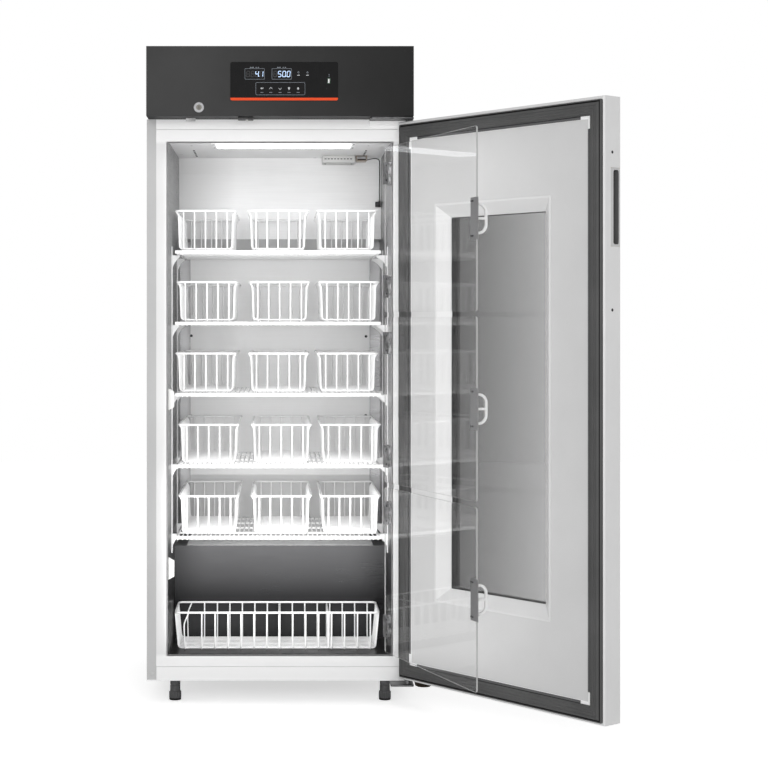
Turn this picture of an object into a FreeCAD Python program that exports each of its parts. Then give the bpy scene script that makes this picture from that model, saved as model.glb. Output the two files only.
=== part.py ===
import FreeCAD, Part
import math
import os

# Blood bank refrigerator, millimetres, +Z up, front towards -Y.
# Shapes are worked out in the cabinet's own places: X from the cabinet's middle, Y back from the
# front face of the cabinet, Z up from the floor. The last step puts the origin at the middle of
# the feet. Doors are shaped shut and then swung to the angles at which they stand open.

os.makedirs("parts", exist_ok=True)
V = FreeCAD.Vector
UP = V(0, 0, 1)
FORWARD = V(0, -1, 0)
BACK = V(0, 1, 0)

# Cabinet
CASE_WIDTH = 650.0
CASE_DEPTH = 600.0
CASE_BOTTOM = 54.0
CASE_HEIGHT = 1369.0
SHEET = 1.2
RETURN_WIDTH = 23.0
FRAME_DEPTH = 8.0
FRAME_SIDE = 28.0
FRAME_LOWER = 28.2
FRAME_UPPER = 32.0
FRAME_SEAM = 0.6
BASE_STRIP = 34.8
HEAD_STRIP = 25.0

# Chamber inside the liner
LINER_SHEET = 1.0
BACK_WALL = 65.0
FLOOR_RECESS = 12.0
CEILING_RECESS = 7.0
STEP_FRONT = 292.0
STEP_RISE = 241.0
STEP_WALL = 50.0
SLOT_FROM_WALL = 51.0
SLOT_WIDTH = 5.0
SLOT_LENGTH = 26.0
SLOT_PITCH = 38.0
SLOT_FIRST = 137.0
SLOT_START = 250.0
SLOT_COUNT = 5

# Air path on the back wall
DUCT_SPACE = 60.0
DUCT_FROM_WALL = 31.0
DUCT_SHEET = 1.0
COVER_HEIGHT = 219.0
COVER_BREAK_DROP = 43.0
COVER_LEAN = 10.0
DUCT_FOOT_SET = 6.0
VENT_WIDTH = 4.0
VENT_PITCH = 12.0

# Shelves and their supports
SHELF_FROM_LEFT_WALL = 15.0
SHELF_FROM_RIGHT_WALL = 25.0
SHELF_FRONT = 48.0
SHELF_BACK_GAP = 3.0
SHELF_THICK = 8.0
SHELF_BORDER = 6.0
SHELF_WIRE = 4.0
SHELF_WIRE_PITCH = 11.5
SHELF_CROSS_BARS = 3
SHELF_COUNT = 5
SHELF_PITCH = 176.2
LOWEST_SHELF_RISE = 55.0
STANDARD_WIDTH = 25.0
STANDARD_THICK = 2.0
STANDARD_FRONT = 150.0
STANDARD_REAR_SET = 100.0
BRACKET_HEIGHT = 31.0
BRACKET_THICK = 14.0
BRACKET_OVERLAP = 5.0

# Small baskets, three to a shelf
BASKET_WIDTH = 152.0
BASKET_BACK_GAP = 22.0
BASKET_HEIGHT = 100.0
BASKET_SET = 2.0
BASKET_COLUMNS = (-175.5, 4.0, 175.0)
BASKET_ROW_SHIFT = (4.0, 4.0, -3.0, 0.0, -4.0)
RIM_WIRE = 5.0
WALL_WIRE = 3.0
WALL_WIRE_PITCH = 27.0
CROSS_WIRE_PITCH = 50.0
RIM_OVERHANG = 6.0
REST_GAP = 0.3

# Wide basket in the floor well
WIDE_FROM_LEFT_WALL = 8.0
WIDE_FROM_RIGHT_WALL = 23.0
WIDE_FRONT = 118.0
WIDE_BACK_GAP = 4.0
WIDE_HEIGHT = 97.0
WIDE_WIRE_PITCH = 33.0
DIVIDER_PLACES = (0.51, 0.755)

# Lamp and sensor
LAMP_MIDDLE = 9.0
LAMP_LENGTH = 360.0
LAMP_FRONT = 60.0
LAMP_DEPTH = 105.0
LAMP_THICK = 5.0
SENSOR_SIZE = 14.0
SENSOR_DROP = 75.0
SENSOR_INSET = 9.0
SENSOR_LEAD = 2.5

# Outer door, shaped shut
DOOR_OPEN_ANGLE = 129.0
DOOR_SIDE_SET = 3.4
DOOR_RAISE = 12.0
DOOR_HEAD_GAP = 11.0
DOOR_THICK = 53.1
DOOR_EDGE_ROUND = 5.0
DOOR_FACE_ROUND = 1.5
DOOR_LIP = 14.0
DOOR_HINGE_INSET = 12.6
DOOR_HINGE_Y = -30.0
GASKET_FREE_SET = 1.6
GASKET_HINGE_SET = 9.1
GASKET_LOW_SET = 6.3
GASKET_HIGH_SET = 7.7
GASKET_WIDTH = 33.0
GASKET_THICK = 9.6
GASKET_GAP = 0.6
BEZEL_FREE_SET = 151.6
BEZEL_HINGE_SET = 129.6
BEZEL_LOW_SET = 202.5
BEZEL_HIGH_SET = 204.7
BEZEL_WIDTH = 33.0
BEZEL_DEPTH = 22.8
BEZEL_WALL = 2.5
BEZEL_LIP = 5.0
GLASS_LAP = 14.0
PANE = 4.0
GLAZING_THICK = 24.0
SPACER_WIDTH = 10.0
WINDOW_RETURN = 5.5

# Grip recess in the free edge of the outer door
GRIP_RAISE = 1024.0
GRIP_HEIGHT = 169.5
GRIP_FLANGE_INNER_SET = 21.8
GRIP_FLANGE_OUTER_SET = 2.3
GRIP_FLANGE_THICK = 1.2
GRIP_SLOT_INNER_SET = 30.3
GRIP_SLOT_OUTER_SET = 4.8
GRIP_SLOT_END = 5.0
GRIP_DEPTH = 26.0
GRIP_WALL = 2.0
FIT_GAP = 0.2

# Hinge hardware of the outer door
PIN_RADIUS = 5.0
PIN_GAP = 0.08
PIN_REACH = 15.0
BRACKET_PLATE = 4.0
BRACKET_FRONT = -52.0
BRACKET_BACK = 24.0
BRACKET_SIDE_SET = 2.0
BRACKET_WIDTH = 56.0
TOP_BRACKET_WIDTH = 105.0
TOP_BRACKET_DROP = 17.0
SPACER_RADIUS = 8.0
SCREW_HEAD_RADIUS = 4.0
SCREW_HEAD = 2.5
SCREW_INSET = 10.0
CLOSER_CAP_FROM_HINGE = 48.0
CLOSER_CAP_RADIUS = 21.5
CLOSER_CAP_HEIGHT = 11.7

# Inner doors, shaped shut
INNER_COUNT = 3
INNER_OPEN_RATIO = 0.851
INNER_LOW_GAP = 4.7
INNER_HIGH_GAP = 10.1
INNER_BETWEEN = 12.6
INNER_THICK = 4.0
INNER_FRONT = 20.0
INNER_FREE_GAP = 21.0
INNER_HINGE_GAP = 18.0
INNER_EDGE_GAP = 6.0
INNER_CORNER = 7.0
KNUCKLE_RADIUS = 3.5
HINGE_PIN_RADIUS = 2.0
KNUCKLE_LENGTH = 54.0
KNUCKLE_GAP = 0.4
HINGE_FROM_END = 63.0
LEAF_LENGTH = 24.0
LEAF_THICK = 1.5
POST_FRONT = 17.0
POST_BACK = 40.0
POST_PROUD = 11.5

# Handle, strike and catch of an inner door
HANDLE_HEIGHT = 69.0
HANDLE_REACH = 26.0
HANDLE_THICK = 5.0
HANDLE_BAND = 5.5
HANDLE_ROUND = 21.0
HANDLE_PLATE_WIDTH = 24.0
HANDLE_PLATE_HEIGHT = 92.0
HANDLE_PLATE_THICK = 1.5
STRIKE_OVERHANG = 11.0
STRIKE_WIDTH = 36.0
CATCH_PROUD = 14.0
CATCH_HEIGHT = 54.0
CATCH_DEPTH = 15.0
CATCH_CHAMFER = 8.0
CATCH_GAP = 0.6
CATCH_DOORS = 2

# Top housing with the controls
HOUSING_SIDE_SET = 4.0
HOUSING_FRONT = -70.0
HOUSING_HEIGHT = 167.8
HOUSING_SHEET = 1.5
PANEL_MIDDLE = 10.0
PANEL_WIDTH = 258.0
PANEL_RAISE = 37.0
PANEL_HEIGHT = 92.0
PANEL_THICK = 2.0
PANEL_CORNER = 4.0
WINDOW_SETS = (35.5, 100.4)
WINDOW_WIDTH = 45.5
WINDOW_RAISE = 51.5
WINDOW_HEIGHT = 24.0
WINDOW_RECESS = 0.4
USB_SET = 22.0
USB_RAISE = 47.0
USB_WIDTH = 7.7
USB_HEIGHT = 14.0
USB_WALL = 0.8
USB_FLOOR = 2.0
BOARD_THICK = 1.6
BOARD_STANDOFF = 12.0

# Key lock
LOCK_SET = 126.5
LOCK_RAISE = 20.5
LOCK_RADIUS = 12.7
LOCK_BODY_RADIUS = 9.5
LOCK_PLUG_RADIUS = 6.5
LOCK_PLUG_GAP = 0.05
LOCK_LENGTH = 26.0
LOCK_PROUD = 1.8
KEY_SLOT = 1.6
TAIL_RADIUS = 4.0
CRANK_THICK = 2.5
CRANK_GAP = 2.5
CRANK_PIN_RADIUS = 2.0
CRANK_PIN_PLAY = 0.6
BOLT_FROM_LOCK = 33.5
BOLT_WIDTH = 23.0
BOLT_THICK = 6.0
BOLT_FRONT = -26.0
BOLT_HANG = 7.0
BOLT_TRAVEL = 18.0
BOLT_CLEARANCE = 2.0
EAR_HALF = 5.5
EAR_FROM_LOCK = 4.0

# Door switch
SWITCH_LEFT = -101.5
SWITCH_WIDTH = 37.0
SWITCH_FRONT = -50.0
SWITCH_DEPTH = 30.0
SWITCH_HANG = 5.5
PLUNGER_LEFT = -83.0
PLUNGER_WIDTH = 6.0
PLUNGER_DEPTH = 12.0
PLUNGER_HANG = 8.5
PLUNGER_TRAVEL = 3.0
PLUNGER_GAP = 0.4

# Feet
FOOT_SIDE_SET = 67.0
FOOT_END_SET = 40.0
FOOT_RADIUS = 12.5
COLLAR_RADIUS = 15.0
COLLAR_HEIGHT = 21.5

# Machine compartment and air movers
COMPRESSOR_RADIUS = 72.0
COMPRESSOR_HEIGHT = 165.0
COMPRESSOR_X = 150.0
CONDENSER_WIDTH = 210.0
CONDENSER_HEIGHT = 170.0
CONDENSER_LEFT = -225.0
CONDENSER_SET = 38.0
EVAPORATOR_WIDTH = 400.0
EVAPORATOR_HEIGHT = 90.0
EVAPORATOR_DROP = 103.0
COIL_DEPTH = 40.0
COIL_TUBE_RADIUS = 4.0
COIL_TUBES = 3
FIN_PITCH = 14.0
FIN_THICK = 0.8
FAN_RADIUS = 70.0
SMALL_FAN_RADIUS = 40.0
FAN_BLADES = 5
FAN_HUB_RADIUS = 16.0
FAN_DEPTH = 12.0
MOTOR_LENGTH = 24.0
SHAFT_RADIUS = 3.0
SHAFT_GAP = 0.05
GRILLE_SLOT = 5.0
GRILLE_PITCH = 11.0
GRILLE_MARGIN = 20.0
INLET_WIDTH = 50.0
INLET_HEIGHT = 28.0
INLET_DEPTH = 22.0

# Worked out from the above
CASE_TOP = CASE_BOTTOM + CASE_HEIGHT
HALF_CASE = CASE_WIDTH / 2
FRAME_BAND_HALF = HALF_CASE - RETURN_WIDTH
FRAME_BAND_BOTTOM = CASE_BOTTOM + BASE_STRIP
FRAME_BAND_TOP = CASE_TOP - HEAD_STRIP
HALF_OPENING = FRAME_BAND_HALF - FRAME_SIDE
OPENING_BOTTOM = FRAME_BAND_BOTTOM + FRAME_LOWER
OPENING_TOP = FRAME_BAND_TOP - FRAME_UPPER

CHAMBER_BACK = CASE_DEPTH - BACK_WALL
CHAMBER_FLOOR = OPENING_BOTTOM - FLOOR_RECESS
CHAMBER_CEILING = OPENING_TOP + CEILING_RECESS
STEP_TOP = CHAMBER_FLOOR + STEP_RISE
SLOT_OFFSET = HALF_OPENING - SLOT_FROM_WALL
COMPARTMENT_FRONT = STEP_FRONT + STEP_WALL
COMPARTMENT_TOP = STEP_TOP - STEP_WALL
PAN_TOP = CASE_BOTTOM + SHEET
DUCT_FRONT = CHAMBER_BACK - DUCT_SPACE
HALF_DUCT = HALF_OPENING - DUCT_FROM_WALL
COVER_BOTTOM = CHAMBER_CEILING - COVER_HEIGHT
COVER_BREAK = CHAMBER_CEILING - COVER_BREAK_DROP
DUCT_FOOT_FRONT = STEP_FRONT + DUCT_FOOT_SET
CONDENSER_FRONT = COMPARTMENT_FRONT + CONDENSER_SET
EVAPORATOR_BOTTOM = CHAMBER_CEILING - EVAPORATOR_DROP

SHELF_LEFT = SHELF_FROM_LEFT_WALL - HALF_OPENING
SHELF_RIGHT = HALF_OPENING - SHELF_FROM_RIGHT_WALL
SHELF_MIDDLE = (SHELF_LEFT + SHELF_RIGHT) / 2
SHELF_DEPTH = DUCT_FRONT - SHELF_BACK_GAP - SHELF_FRONT
SHELF_TOPS = [STEP_TOP + LOWEST_SHELF_RISE + SHELF_PITCH * n for n in range(SHELF_COUNT)]
STANDARD_REAR = DUCT_FRONT - STANDARD_REAR_SET
BASKET_FRONT = SHELF_FRONT + BASKET_SET
BASKET_DEPTH = SHELF_DEPTH - BASKET_SET - BASKET_BACK_GAP
WIDE_LEFT = WIDE_FROM_LEFT_WALL - HALF_OPENING
WIDE_RIGHT = HALF_OPENING - WIDE_FROM_RIGHT_WALL
WIDE_BACK = STEP_FRONT - WIDE_BACK_GAP
SENSOR_TOP = COVER_BREAK - SENSOR_DROP

HALF_DOOR = HALF_CASE - DOOR_SIDE_SET
DOOR_BOTTOM = CASE_BOTTOM + DOOR_RAISE
DOOR_TOP = CASE_TOP - DOOR_HEAD_GAP
DOOR_INNER = -(GASKET_THICK + GASKET_GAP)
DOOR_OUTER = DOOR_INNER - DOOR_THICK
DOOR_HINGE_X = HALF_DOOR - DOOR_HINGE_INSET
GASKET_FREE = GASKET_FREE_SET - HALF_DOOR
GASKET_HINGE = HALF_DOOR - GASKET_HINGE_SET
GASKET_BOTTOM = DOOR_BOTTOM + GASKET_LOW_SET
GASKET_TOP = DOOR_TOP - GASKET_HIGH_SET
BEZEL_LEFT = BEZEL_FREE_SET - HALF_DOOR
BEZEL_RIGHT = HALF_DOOR - BEZEL_HINGE_SET
BEZEL_BOTTOM = DOOR_BOTTOM + BEZEL_LOW_SET
BEZEL_TOP = DOOR_TOP - BEZEL_HIGH_SET
GLASS_BACK = DOOR_INNER - BEZEL_DEPTH
GLASS_FRONT = GLASS_BACK - GLAZING_THICK
GRIP_BOTTOM = DOOR_BOTTOM + GRIP_RAISE
GRIP_FLANGE_NEAR = DOOR_INNER - GRIP_FLANGE_INNER_SET
GRIP_FLANGE_FAR = DOOR_OUTER + GRIP_FLANGE_OUTER_SET
GRIP_SLOT_NEAR = DOOR_INNER - GRIP_SLOT_INNER_SET
GRIP_SLOT_FAR = DOOR_OUTER + GRIP_SLOT_OUTER_SET
BRACKET_OUTER = HALF_CASE - BRACKET_SIDE_SET
BRACKET_INNER = BRACKET_OUTER - BRACKET_WIDTH
TOP_BRACKET_INNER = BRACKET_OUTER - TOP_BRACKET_WIDTH

INNER_BOTTOM = OPENING_BOTTOM + INNER_LOW_GAP
INNER_HEIGHT = (OPENING_TOP - INNER_HIGH_GAP - INNER_BOTTOM - (INNER_COUNT - 1) * INNER_BETWEEN) / INNER_COUNT
INNER_PITCH = INNER_HEIGHT + INNER_BETWEEN
INNER_FREE = INNER_FREE_GAP - HALF_OPENING
INNER_HINGE_X = HALF_OPENING - INNER_HINGE_GAP
INNER_HINGE_Y = INNER_FRONT + INNER_THICK / 2
INNER_BACK = INNER_FRONT + INNER_THICK
POST_INNER = HALF_OPENING - POST_PROUD

HALF_HOUSING = HALF_CASE - HOUSING_SIDE_SET
HOUSING_TOP = CASE_TOP + HOUSING_HEIGHT
PANEL_LEFT = PANEL_MIDDLE - PANEL_WIDTH / 2
PANEL_RIGHT = PANEL_MIDDLE + PANEL_WIDTH / 2
PANEL_BOTTOM = CASE_TOP + PANEL_RAISE
PANEL_TOP = PANEL_BOTTOM + PANEL_HEIGHT
WINDOW_BOTTOM = PANEL_BOTTOM + WINDOW_RAISE
USB_X = PANEL_RIGHT - USB_SET
USB_Z = PANEL_BOTTOM + USB_RAISE
LOCK_X = LOCK_SET - HALF_HOUSING
LOCK_Z = CASE_TOP + LOCK_RAISE
BOLT_LEFT = LOCK_X - BOLT_FROM_LOCK
EAR_TIP = LOCK_X - EAR_FROM_LOCK
FOOT_HALF_SPREAD = HALF_CASE - FOOT_SIDE_SET
FOOT_FRONT = FOOT_END_SET
FOOT_REAR = CASE_DEPTH - FOOT_END_SET
ORIGIN_Y = (FOOT_FRONT + FOOT_REAR) / 2


def box(x0, x1, y0, y1, z0, z1):
    return Part.makeBox(x1 - x0, y1 - y0, z1 - z0, V(x0, y0, z0))


def rod(radius, start, way, length):
    return Part.makeCylinder(radius, length, start, way)


def prism(points, way):
    face = Part.Face(Part.makePolygon(list(points) + [points[0]]))
    return face.extrude(way)


def plate_xz(x0, x1, z0, z1, y0, y1, holes=()):
    # an upright plate across the cabinet, with rectangular holes (x0, x1, z0, z1)
    outline = Part.makePolygon([V(x0, y0, z0), V(x1, y0, z0), V(x1, y0, z1), V(x0, y0, z1), V(x0, y0, z0)])
    face = Part.Face(outline)
    if holes:
        cuts = [Part.Face(Part.makePolygon([V(a, y0, c), V(b, y0, c), V(b, y0, d), V(a, y0, d), V(a, y0, c)]))
                for a, b, c, d in holes]
        face = face.cut(Part.makeCompound(cuts))
    return face.extrude(V(0, y1 - y0, 0)).Solids[0]


def bars(outer, inner, y0, y1):
    # four mitred bars between two upright rectangles (x0, x1, z0, z1)
    ox0, ox1, oz0, oz1 = outer
    ix0, ix1, iz0, iz1 = inner
    out = [V(ox0, y0, oz0), V(ox1, y0, oz0), V(ox1, y0, oz1), V(ox0, y0, oz1)]
    ins = [V(ix0, y0, iz0), V(ix1, y0, iz0), V(ix1, y0, iz1), V(ix0, y0, iz1)]
    way = V(0, y1 - y0, 0)
    return [prism([out[n], out[(n + 1) % 4], ins[(n + 1) % 4], ins[n]], way) for n in range(4)]


def inset(rectangle, gap):
    x0, x1, z0, z1 = rectangle
    return (x0 + gap, x1 - gap, z0 + gap, z1 - gap)


def slab(rectangle, y0, y1):
    x0, x1, z0, z1 = rectangle
    return box(x0, x1, y0, y1, z0, z1)


def rounded_plate(rectangle, radius, y0, y1):
    plate = slab(rectangle, y0, y1)
    corners = [e for e in plate.Edges if abs(e.tangentAt(e.FirstParameter).y) > 0.9]
    return plate.makeFillet(radius, corners)


def spaced(start, end, pitch):
    # centres of bars spread evenly between two borders
    count = max(1, round((end - start) / pitch) - 1)
    step = (end - start) / (count + 1)
    return [start + step * (n + 1) for n in range(count)]


def windows(start, end, centres, bar):
    # the open stretches left between bars
    edges = [start] + [c + s * bar / 2 for c in centres for s in (-1, 1)] + [end]
    return list(zip(edges[0::2], edges[1::2]))


def grid(corner, along, across, pitch_along, pitch_across, border, wire, thick):
    # a flat wire panel: a plate with rectangular openings, from corner along two edges
    length, width = along.Length, across.Length
    u, v = V(along).normalize(), V(across).normalize()

    def patch(a0, a1, b0, b1):
        ring = [corner + u * a + v * b for a, b in ((a0, b0), (a1, b0), (a1, b1), (a0, b1))]
        return Part.Face(Part.makePolygon(ring + [ring[0]]))

    columns = windows(border, length - border, spaced(border, length - border, pitch_along), wire)
    rows = windows(border, width - border, spaced(border, width - border, pitch_across), wire)
    holes = [patch(a0, a1, b0, b1) for a0, a1 in columns for b0, b1 in rows]
    face = patch(0, length, 0, width).cut(Part.makeCompound(holes))
    return face.extrude(u.cross(v) * thick).Solids[0]


def swing(shape, hinge_x, hinge_y, angle):
    turned = shape.copy()
    turned.rotate(V(hinge_x, hinge_y, 0), UP, angle)
    return turned


def outer_swing(shape):
    return swing(shape, DOOR_HINGE_X, DOOR_HINGE_Y, DOOR_OPEN_ANGLE)


def inner_swing(shape):
    return swing(shape, INNER_HINGE_X, INNER_HINGE_Y, DOOR_OPEN_ANGLE * INNER_OPEN_RATIO)


def save(node, *solids):
    shape = solids[0] if len(solids) == 1 else Part.makeCompound(list(solids))
    placed = shape.copy()
    placed.translate(V(0, -ORIGIN_Y, 0))
    placed.exportStep(f"parts/{node}.step")


def outer_case():
    pieces = []
    for side in (-1, 1):
        wall = [V(side * x, y, CASE_BOTTOM) for x, y in (
            (HALF_CASE, 0), (HALF_CASE - RETURN_WIDTH, 0), (HALF_CASE - RETURN_WIDTH, SHEET),
            (HALF_CASE - SHEET, SHEET), (HALF_CASE - SHEET, CASE_DEPTH), (HALF_CASE, CASE_DEPTH))]
        pieces.append(prism(wall, UP * (CASE_TOP - CASE_BOTTOM)))
    inner = HALF_CASE - SHEET
    pieces.append(box(-inner, inner, FRAME_DEPTH, CASE_DEPTH - SHEET, CASE_TOP - SHEET, CASE_TOP))
    pieces.append(box(-inner, inner, FRAME_DEPTH, CASE_DEPTH, CASE_BOTTOM, PAN_TOP))
    save("outer_case", *pieces)


def back_of_case():
    inner = HALF_CASE - SHEET
    rear = CASE_DEPTH - SHEET
    inlet = (COMPRESSOR_X, COMPRESSOR_X + INLET_WIDTH, COMPARTMENT_TOP + 40, COMPARTMENT_TOP + 40 + INLET_HEIGHT)
    save("back_panel", plate_xz(-inner, inner, COMPARTMENT_TOP, CASE_TOP, rear, CASE_DEPTH, [inlet]))
    slots = [(-HALF_OPENING + GRILLE_MARGIN, -SHEET, z, z + GRILLE_SLOT) for z in grille_rows()]
    slots += [(SHEET, HALF_OPENING - GRILLE_MARGIN, z, z + GRILLE_SLOT) for z in grille_rows()]
    save("rear_grille", plate_xz(-inner, inner, PAN_TOP, COMPARTMENT_TOP, rear, CASE_DEPTH, slots))
    x0, x1, z0, z1 = inset(inlet, FIT_GAP)
    body = box(x0, x1, rear - INLET_DEPTH, CASE_DEPTH + SHEET, z0, z1)
    mouth = slab(inset((x0, x1, z0, z1), 5), CASE_DEPTH - INLET_DEPTH * 0.6, CASE_DEPTH + SHEET)
    pins = [rod(1.5, V((x0 + x1) / 2 + dx, CASE_DEPTH - INLET_DEPTH * 0.6, (z0 + z1) / 2), BACK, 9) for dx in (-8, 0, 8)]
    save("power_inlet", body.cut(mouth).fuse(pins))


def grille_rows():
    start, end = PAN_TOP + GRILLE_MARGIN, COMPARTMENT_TOP - GRILLE_MARGIN
    return [start + GRILLE_PITCH * n for n in range(int((end - start) / GRILLE_PITCH))]


def foam():
    inner = HALF_CASE - SHEET
    wall = HALF_OPENING + LINER_SHEET
    block = box(-inner, inner, FRAME_DEPTH, CASE_DEPTH - SHEET, PAN_TOP, CASE_TOP - SHEET)
    upper = box(-wall, wall, FRAME_DEPTH, CHAMBER_BACK + LINER_SHEET, STEP_TOP - LINER_SHEET,
                CHAMBER_CEILING + LINER_SHEET)
    well = box(-wall, wall, FRAME_DEPTH, STEP_FRONT + LINER_SHEET, CHAMBER_FLOOR - LINER_SHEET, STEP_TOP)
    compartment = box(-wall, wall, COMPARTMENT_FRONT, CASE_DEPTH, PAN_TOP, COMPARTMENT_TOP)
    inlet = box(COMPRESSOR_X, COMPRESSOR_X + INLET_WIDTH, CASE_DEPTH - SHEET - INLET_DEPTH, CASE_DEPTH,
                COMPARTMENT_TOP + 40, COMPARTMENT_TOP + 40 + INLET_HEIGHT)
    save("foam_insulation", block.cut(upper).cut(well).cut(compartment).cut(inlet))


def liner():
    t = LINER_SHEET
    pieces = []
    for side in (-1, 1):
        outline = [V(side * HALF_OPENING, y, z) for y, z in (
            (FRAME_DEPTH, CHAMBER_FLOOR - t), (STEP_FRONT + t, CHAMBER_FLOOR - t), (STEP_FRONT + t, STEP_TOP - t),
            (CHAMBER_BACK + t, STEP_TOP - t), (CHAMBER_BACK + t, CHAMBER_CEILING + t),
            (FRAME_DEPTH, CHAMBER_CEILING + t))]
        pieces.append(prism(outline, V(side * t, 0, 0)))
    w = HALF_OPENING
    roof = box(-w, w, FRAME_DEPTH, CHAMBER_BACK, CHAMBER_CEILING, CHAMBER_CEILING + t)
    starts = [SLOT_FIRST] + [SLOT_START + SLOT_PITCH * n for n in range(SLOT_COUNT)]
    lengths = [SLOT_WIDTH] + [SLOT_LENGTH] * SLOT_COUNT
    slots = [box(s * SLOT_OFFSET - SLOT_WIDTH / 2, s * SLOT_OFFSET + SLOT_WIDTH / 2, y, y + length,
                 CHAMBER_CEILING, CHAMBER_CEILING + t)
             for s in (-1, 1) for y, length in zip(starts, lengths)]
    pieces.append(roof.cut(Part.makeCompound(slots)))
    pieces.append(box(-w, w, CHAMBER_BACK, CHAMBER_BACK + t, STEP_TOP - t, CHAMBER_CEILING + t))
    pieces.append(box(-w, w, FRAME_DEPTH, STEP_FRONT, CHAMBER_FLOOR - t, CHAMBER_FLOOR))
    pieces.append(box(-w, w, STEP_FRONT, STEP_FRONT + t, CHAMBER_FLOOR - t, STEP_TOP - t))
    pieces.append(box(-w, w, STEP_FRONT, CHAMBER_BACK, STEP_TOP - t, STEP_TOP))
    save("inner_liner", *pieces)


def front_frame():
    outer = (-FRAME_BAND_HALF, FRAME_BAND_HALF, FRAME_BAND_BOTTOM, FRAME_BAND_TOP)
    inner = (-HALF_OPENING, HALF_OPENING, OPENING_BOTTOM, OPENING_TOP)
    pieces = bars(outer, inner, 0, FRAME_DEPTH)
    x0, x1 = outer[0], outer[1]
    pieces.append(box(x0, x1, 0, FRAME_DEPTH, CASE_BOTTOM, FRAME_BAND_BOTTOM - FRAME_SEAM))
    pieces.append(box(x0, x1, 0, FRAME_DEPTH, FRAME_BAND_TOP + FRAME_SEAM, CASE_TOP))
    save("front_frame", *pieces)


def air_path():
    t = DUCT_SHEET
    w = HALF_OPENING - REST_GAP
    lower = box(-w, w, DUCT_FRONT, DUCT_FRONT + t, COVER_BOTTOM, COVER_BREAK)
    lean = [V(-w, y, z) for y, z in (
        (DUCT_FRONT, COVER_BREAK), (DUCT_FRONT + t, COVER_BREAK),
        (DUCT_FRONT - COVER_LEAN + t, CHAMBER_CEILING), (DUCT_FRONT - COVER_LEAN, CHAMBER_CEILING))]
    upper = prism(lean, V(2 * w, 0, 0))
    vents = [box(x, x + VENT_WIDTH, DUCT_FRONT + 15, CHAMBER_BACK - 15, COVER_BOTTOM, COVER_BOTTOM + t)
             for x in spaced(-w + 20, w - 20, VENT_PITCH)]
    floor = box(-w, w, DUCT_FRONT + t, CHAMBER_BACK, COVER_BOTTOM, COVER_BOTTOM + t)
    save("evaporator_cover", lower, upper, floor.cut(Part.makeCompound(vents)))
    half = HALF_DUCT
    front = box(-half, half, DUCT_FRONT, DUCT_FRONT + t, STEP_TOP + t, COVER_BOTTOM)
    sides = [box(min(s * half, s * (half - t)), max(s * half, s * (half - t)), DUCT_FRONT + t, CHAMBER_BACK,
                 STEP_TOP + t, COVER_BOTTOM) for s in (-1, 1)]
    foot = box(-half, half, DUCT_FOOT_FRONT, DUCT_FRONT + t, STEP_TOP, STEP_TOP + t)
    save("duct_panel", front, *sides, foot)


def shelves():
    width = SHELF_RIGHT - SHELF_LEFT
    cross_pitch = (SHELF_DEPTH - 2 * SHELF_BORDER) / (SHELF_CROSS_BARS + 1)
    panels = [grid(V(SHELF_LEFT, SHELF_FRONT, top - SHELF_THICK), V(width, 0, 0), V(0, SHELF_DEPTH, 0),
                   SHELF_WIRE_PITCH, cross_pitch, SHELF_BORDER, SHELF_WIRE, SHELF_THICK) for top in SHELF_TOPS]
    save("wire_shelves", *panels)
    pieces = []
    wall = HALF_OPENING
    inside = wall - STANDARD_THICK
    top = SHELF_TOPS[-1] + BRACKET_THICK
    for y in (STANDARD_FRONT, STANDARD_REAR):
        for side, tip in ((-1, SHELF_LEFT + BRACKET_OVERLAP), (1, SHELF_RIGHT - BRACKET_OVERLAP)):
            low, high = sorted((side * wall, side * inside))
            pieces.append(box(low, high, y, y + STANDARD_WIDTH, STEP_TOP, top))
            middle = y + (STANDARD_WIDTH - BRACKET_THICK) / 2
            for shelf_top in SHELF_TOPS:
                under = shelf_top - SHELF_THICK
                corner = [V(side * inside, middle, under), V(tip, middle, under),
                          V(tip, middle, under - BRACKET_OVERLAP), V(side * inside, middle, under - BRACKET_HEIGHT)]
                pieces.append(prism(corner, V(0, BRACKET_THICK, 0)))
    save("shelf_supports", *pieces)


def basket(x0, x1, y0, y1, z0, z1, pitch, dividers=()):
    # flat wire panels inside a rim: floor, four walls, four rim bars and any dividers
    bx0, bx1 = x0 + RIM_OVERHANG, x1 - RIM_OVERHANG
    by0, by1 = y0 + RIM_WIRE / 2, y1 - RIM_WIRE / 2
    rim = z1 - RIM_WIRE
    t = WALL_WIRE
    wall = rim - z0
    across, deep = V(bx1 - bx0, 0, 0), V(0, by1 - by0 - 2 * t, 0)
    lift = V(0, 0, wall)
    rows = min(CROSS_WIRE_PITCH, wall / 2)
    pieces = [
        grid(V(bx0, by0 + t, z0), across, lift, pitch, rows, t, t, t),
        grid(V(bx0, by1, z0), across, lift, pitch, rows, t, t, t),
        grid(V(bx0, by0 + t, z0), deep, lift, pitch, rows, t, t, t),
        grid(V(bx1 - t, by0 + t, z0), deep, lift, pitch, rows, t, t, t),
    ]
    pieces.append(grid(V(bx0 + t, by0 + t, z0), V(bx1 - bx0 - 2 * t, 0, 0), deep, pitch, CROSS_WIRE_PITCH, t, t, t))
    pieces += [
        box(x0, x1, y0, y0 + RIM_WIRE, rim, z1),
        box(x0, x1, y1 - RIM_WIRE, y1, rim, z1),
        box(x0, x0 + RIM_OVERHANG + t, y0 + RIM_WIRE, y1 - RIM_WIRE, rim, z1),
        box(x1 - RIM_OVERHANG - t, x1, y0 + RIM_WIRE, y1 - RIM_WIRE, rim, z1),
    ]
    for share in dividers:
        x = bx0 + (bx1 - bx0) * share
        low = z0 + t
        pieces.append(grid(V(x, by0 + t, low), deep, V(0, 0, rim - low), pitch, rows, t, t, t))
    return pieces


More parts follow.
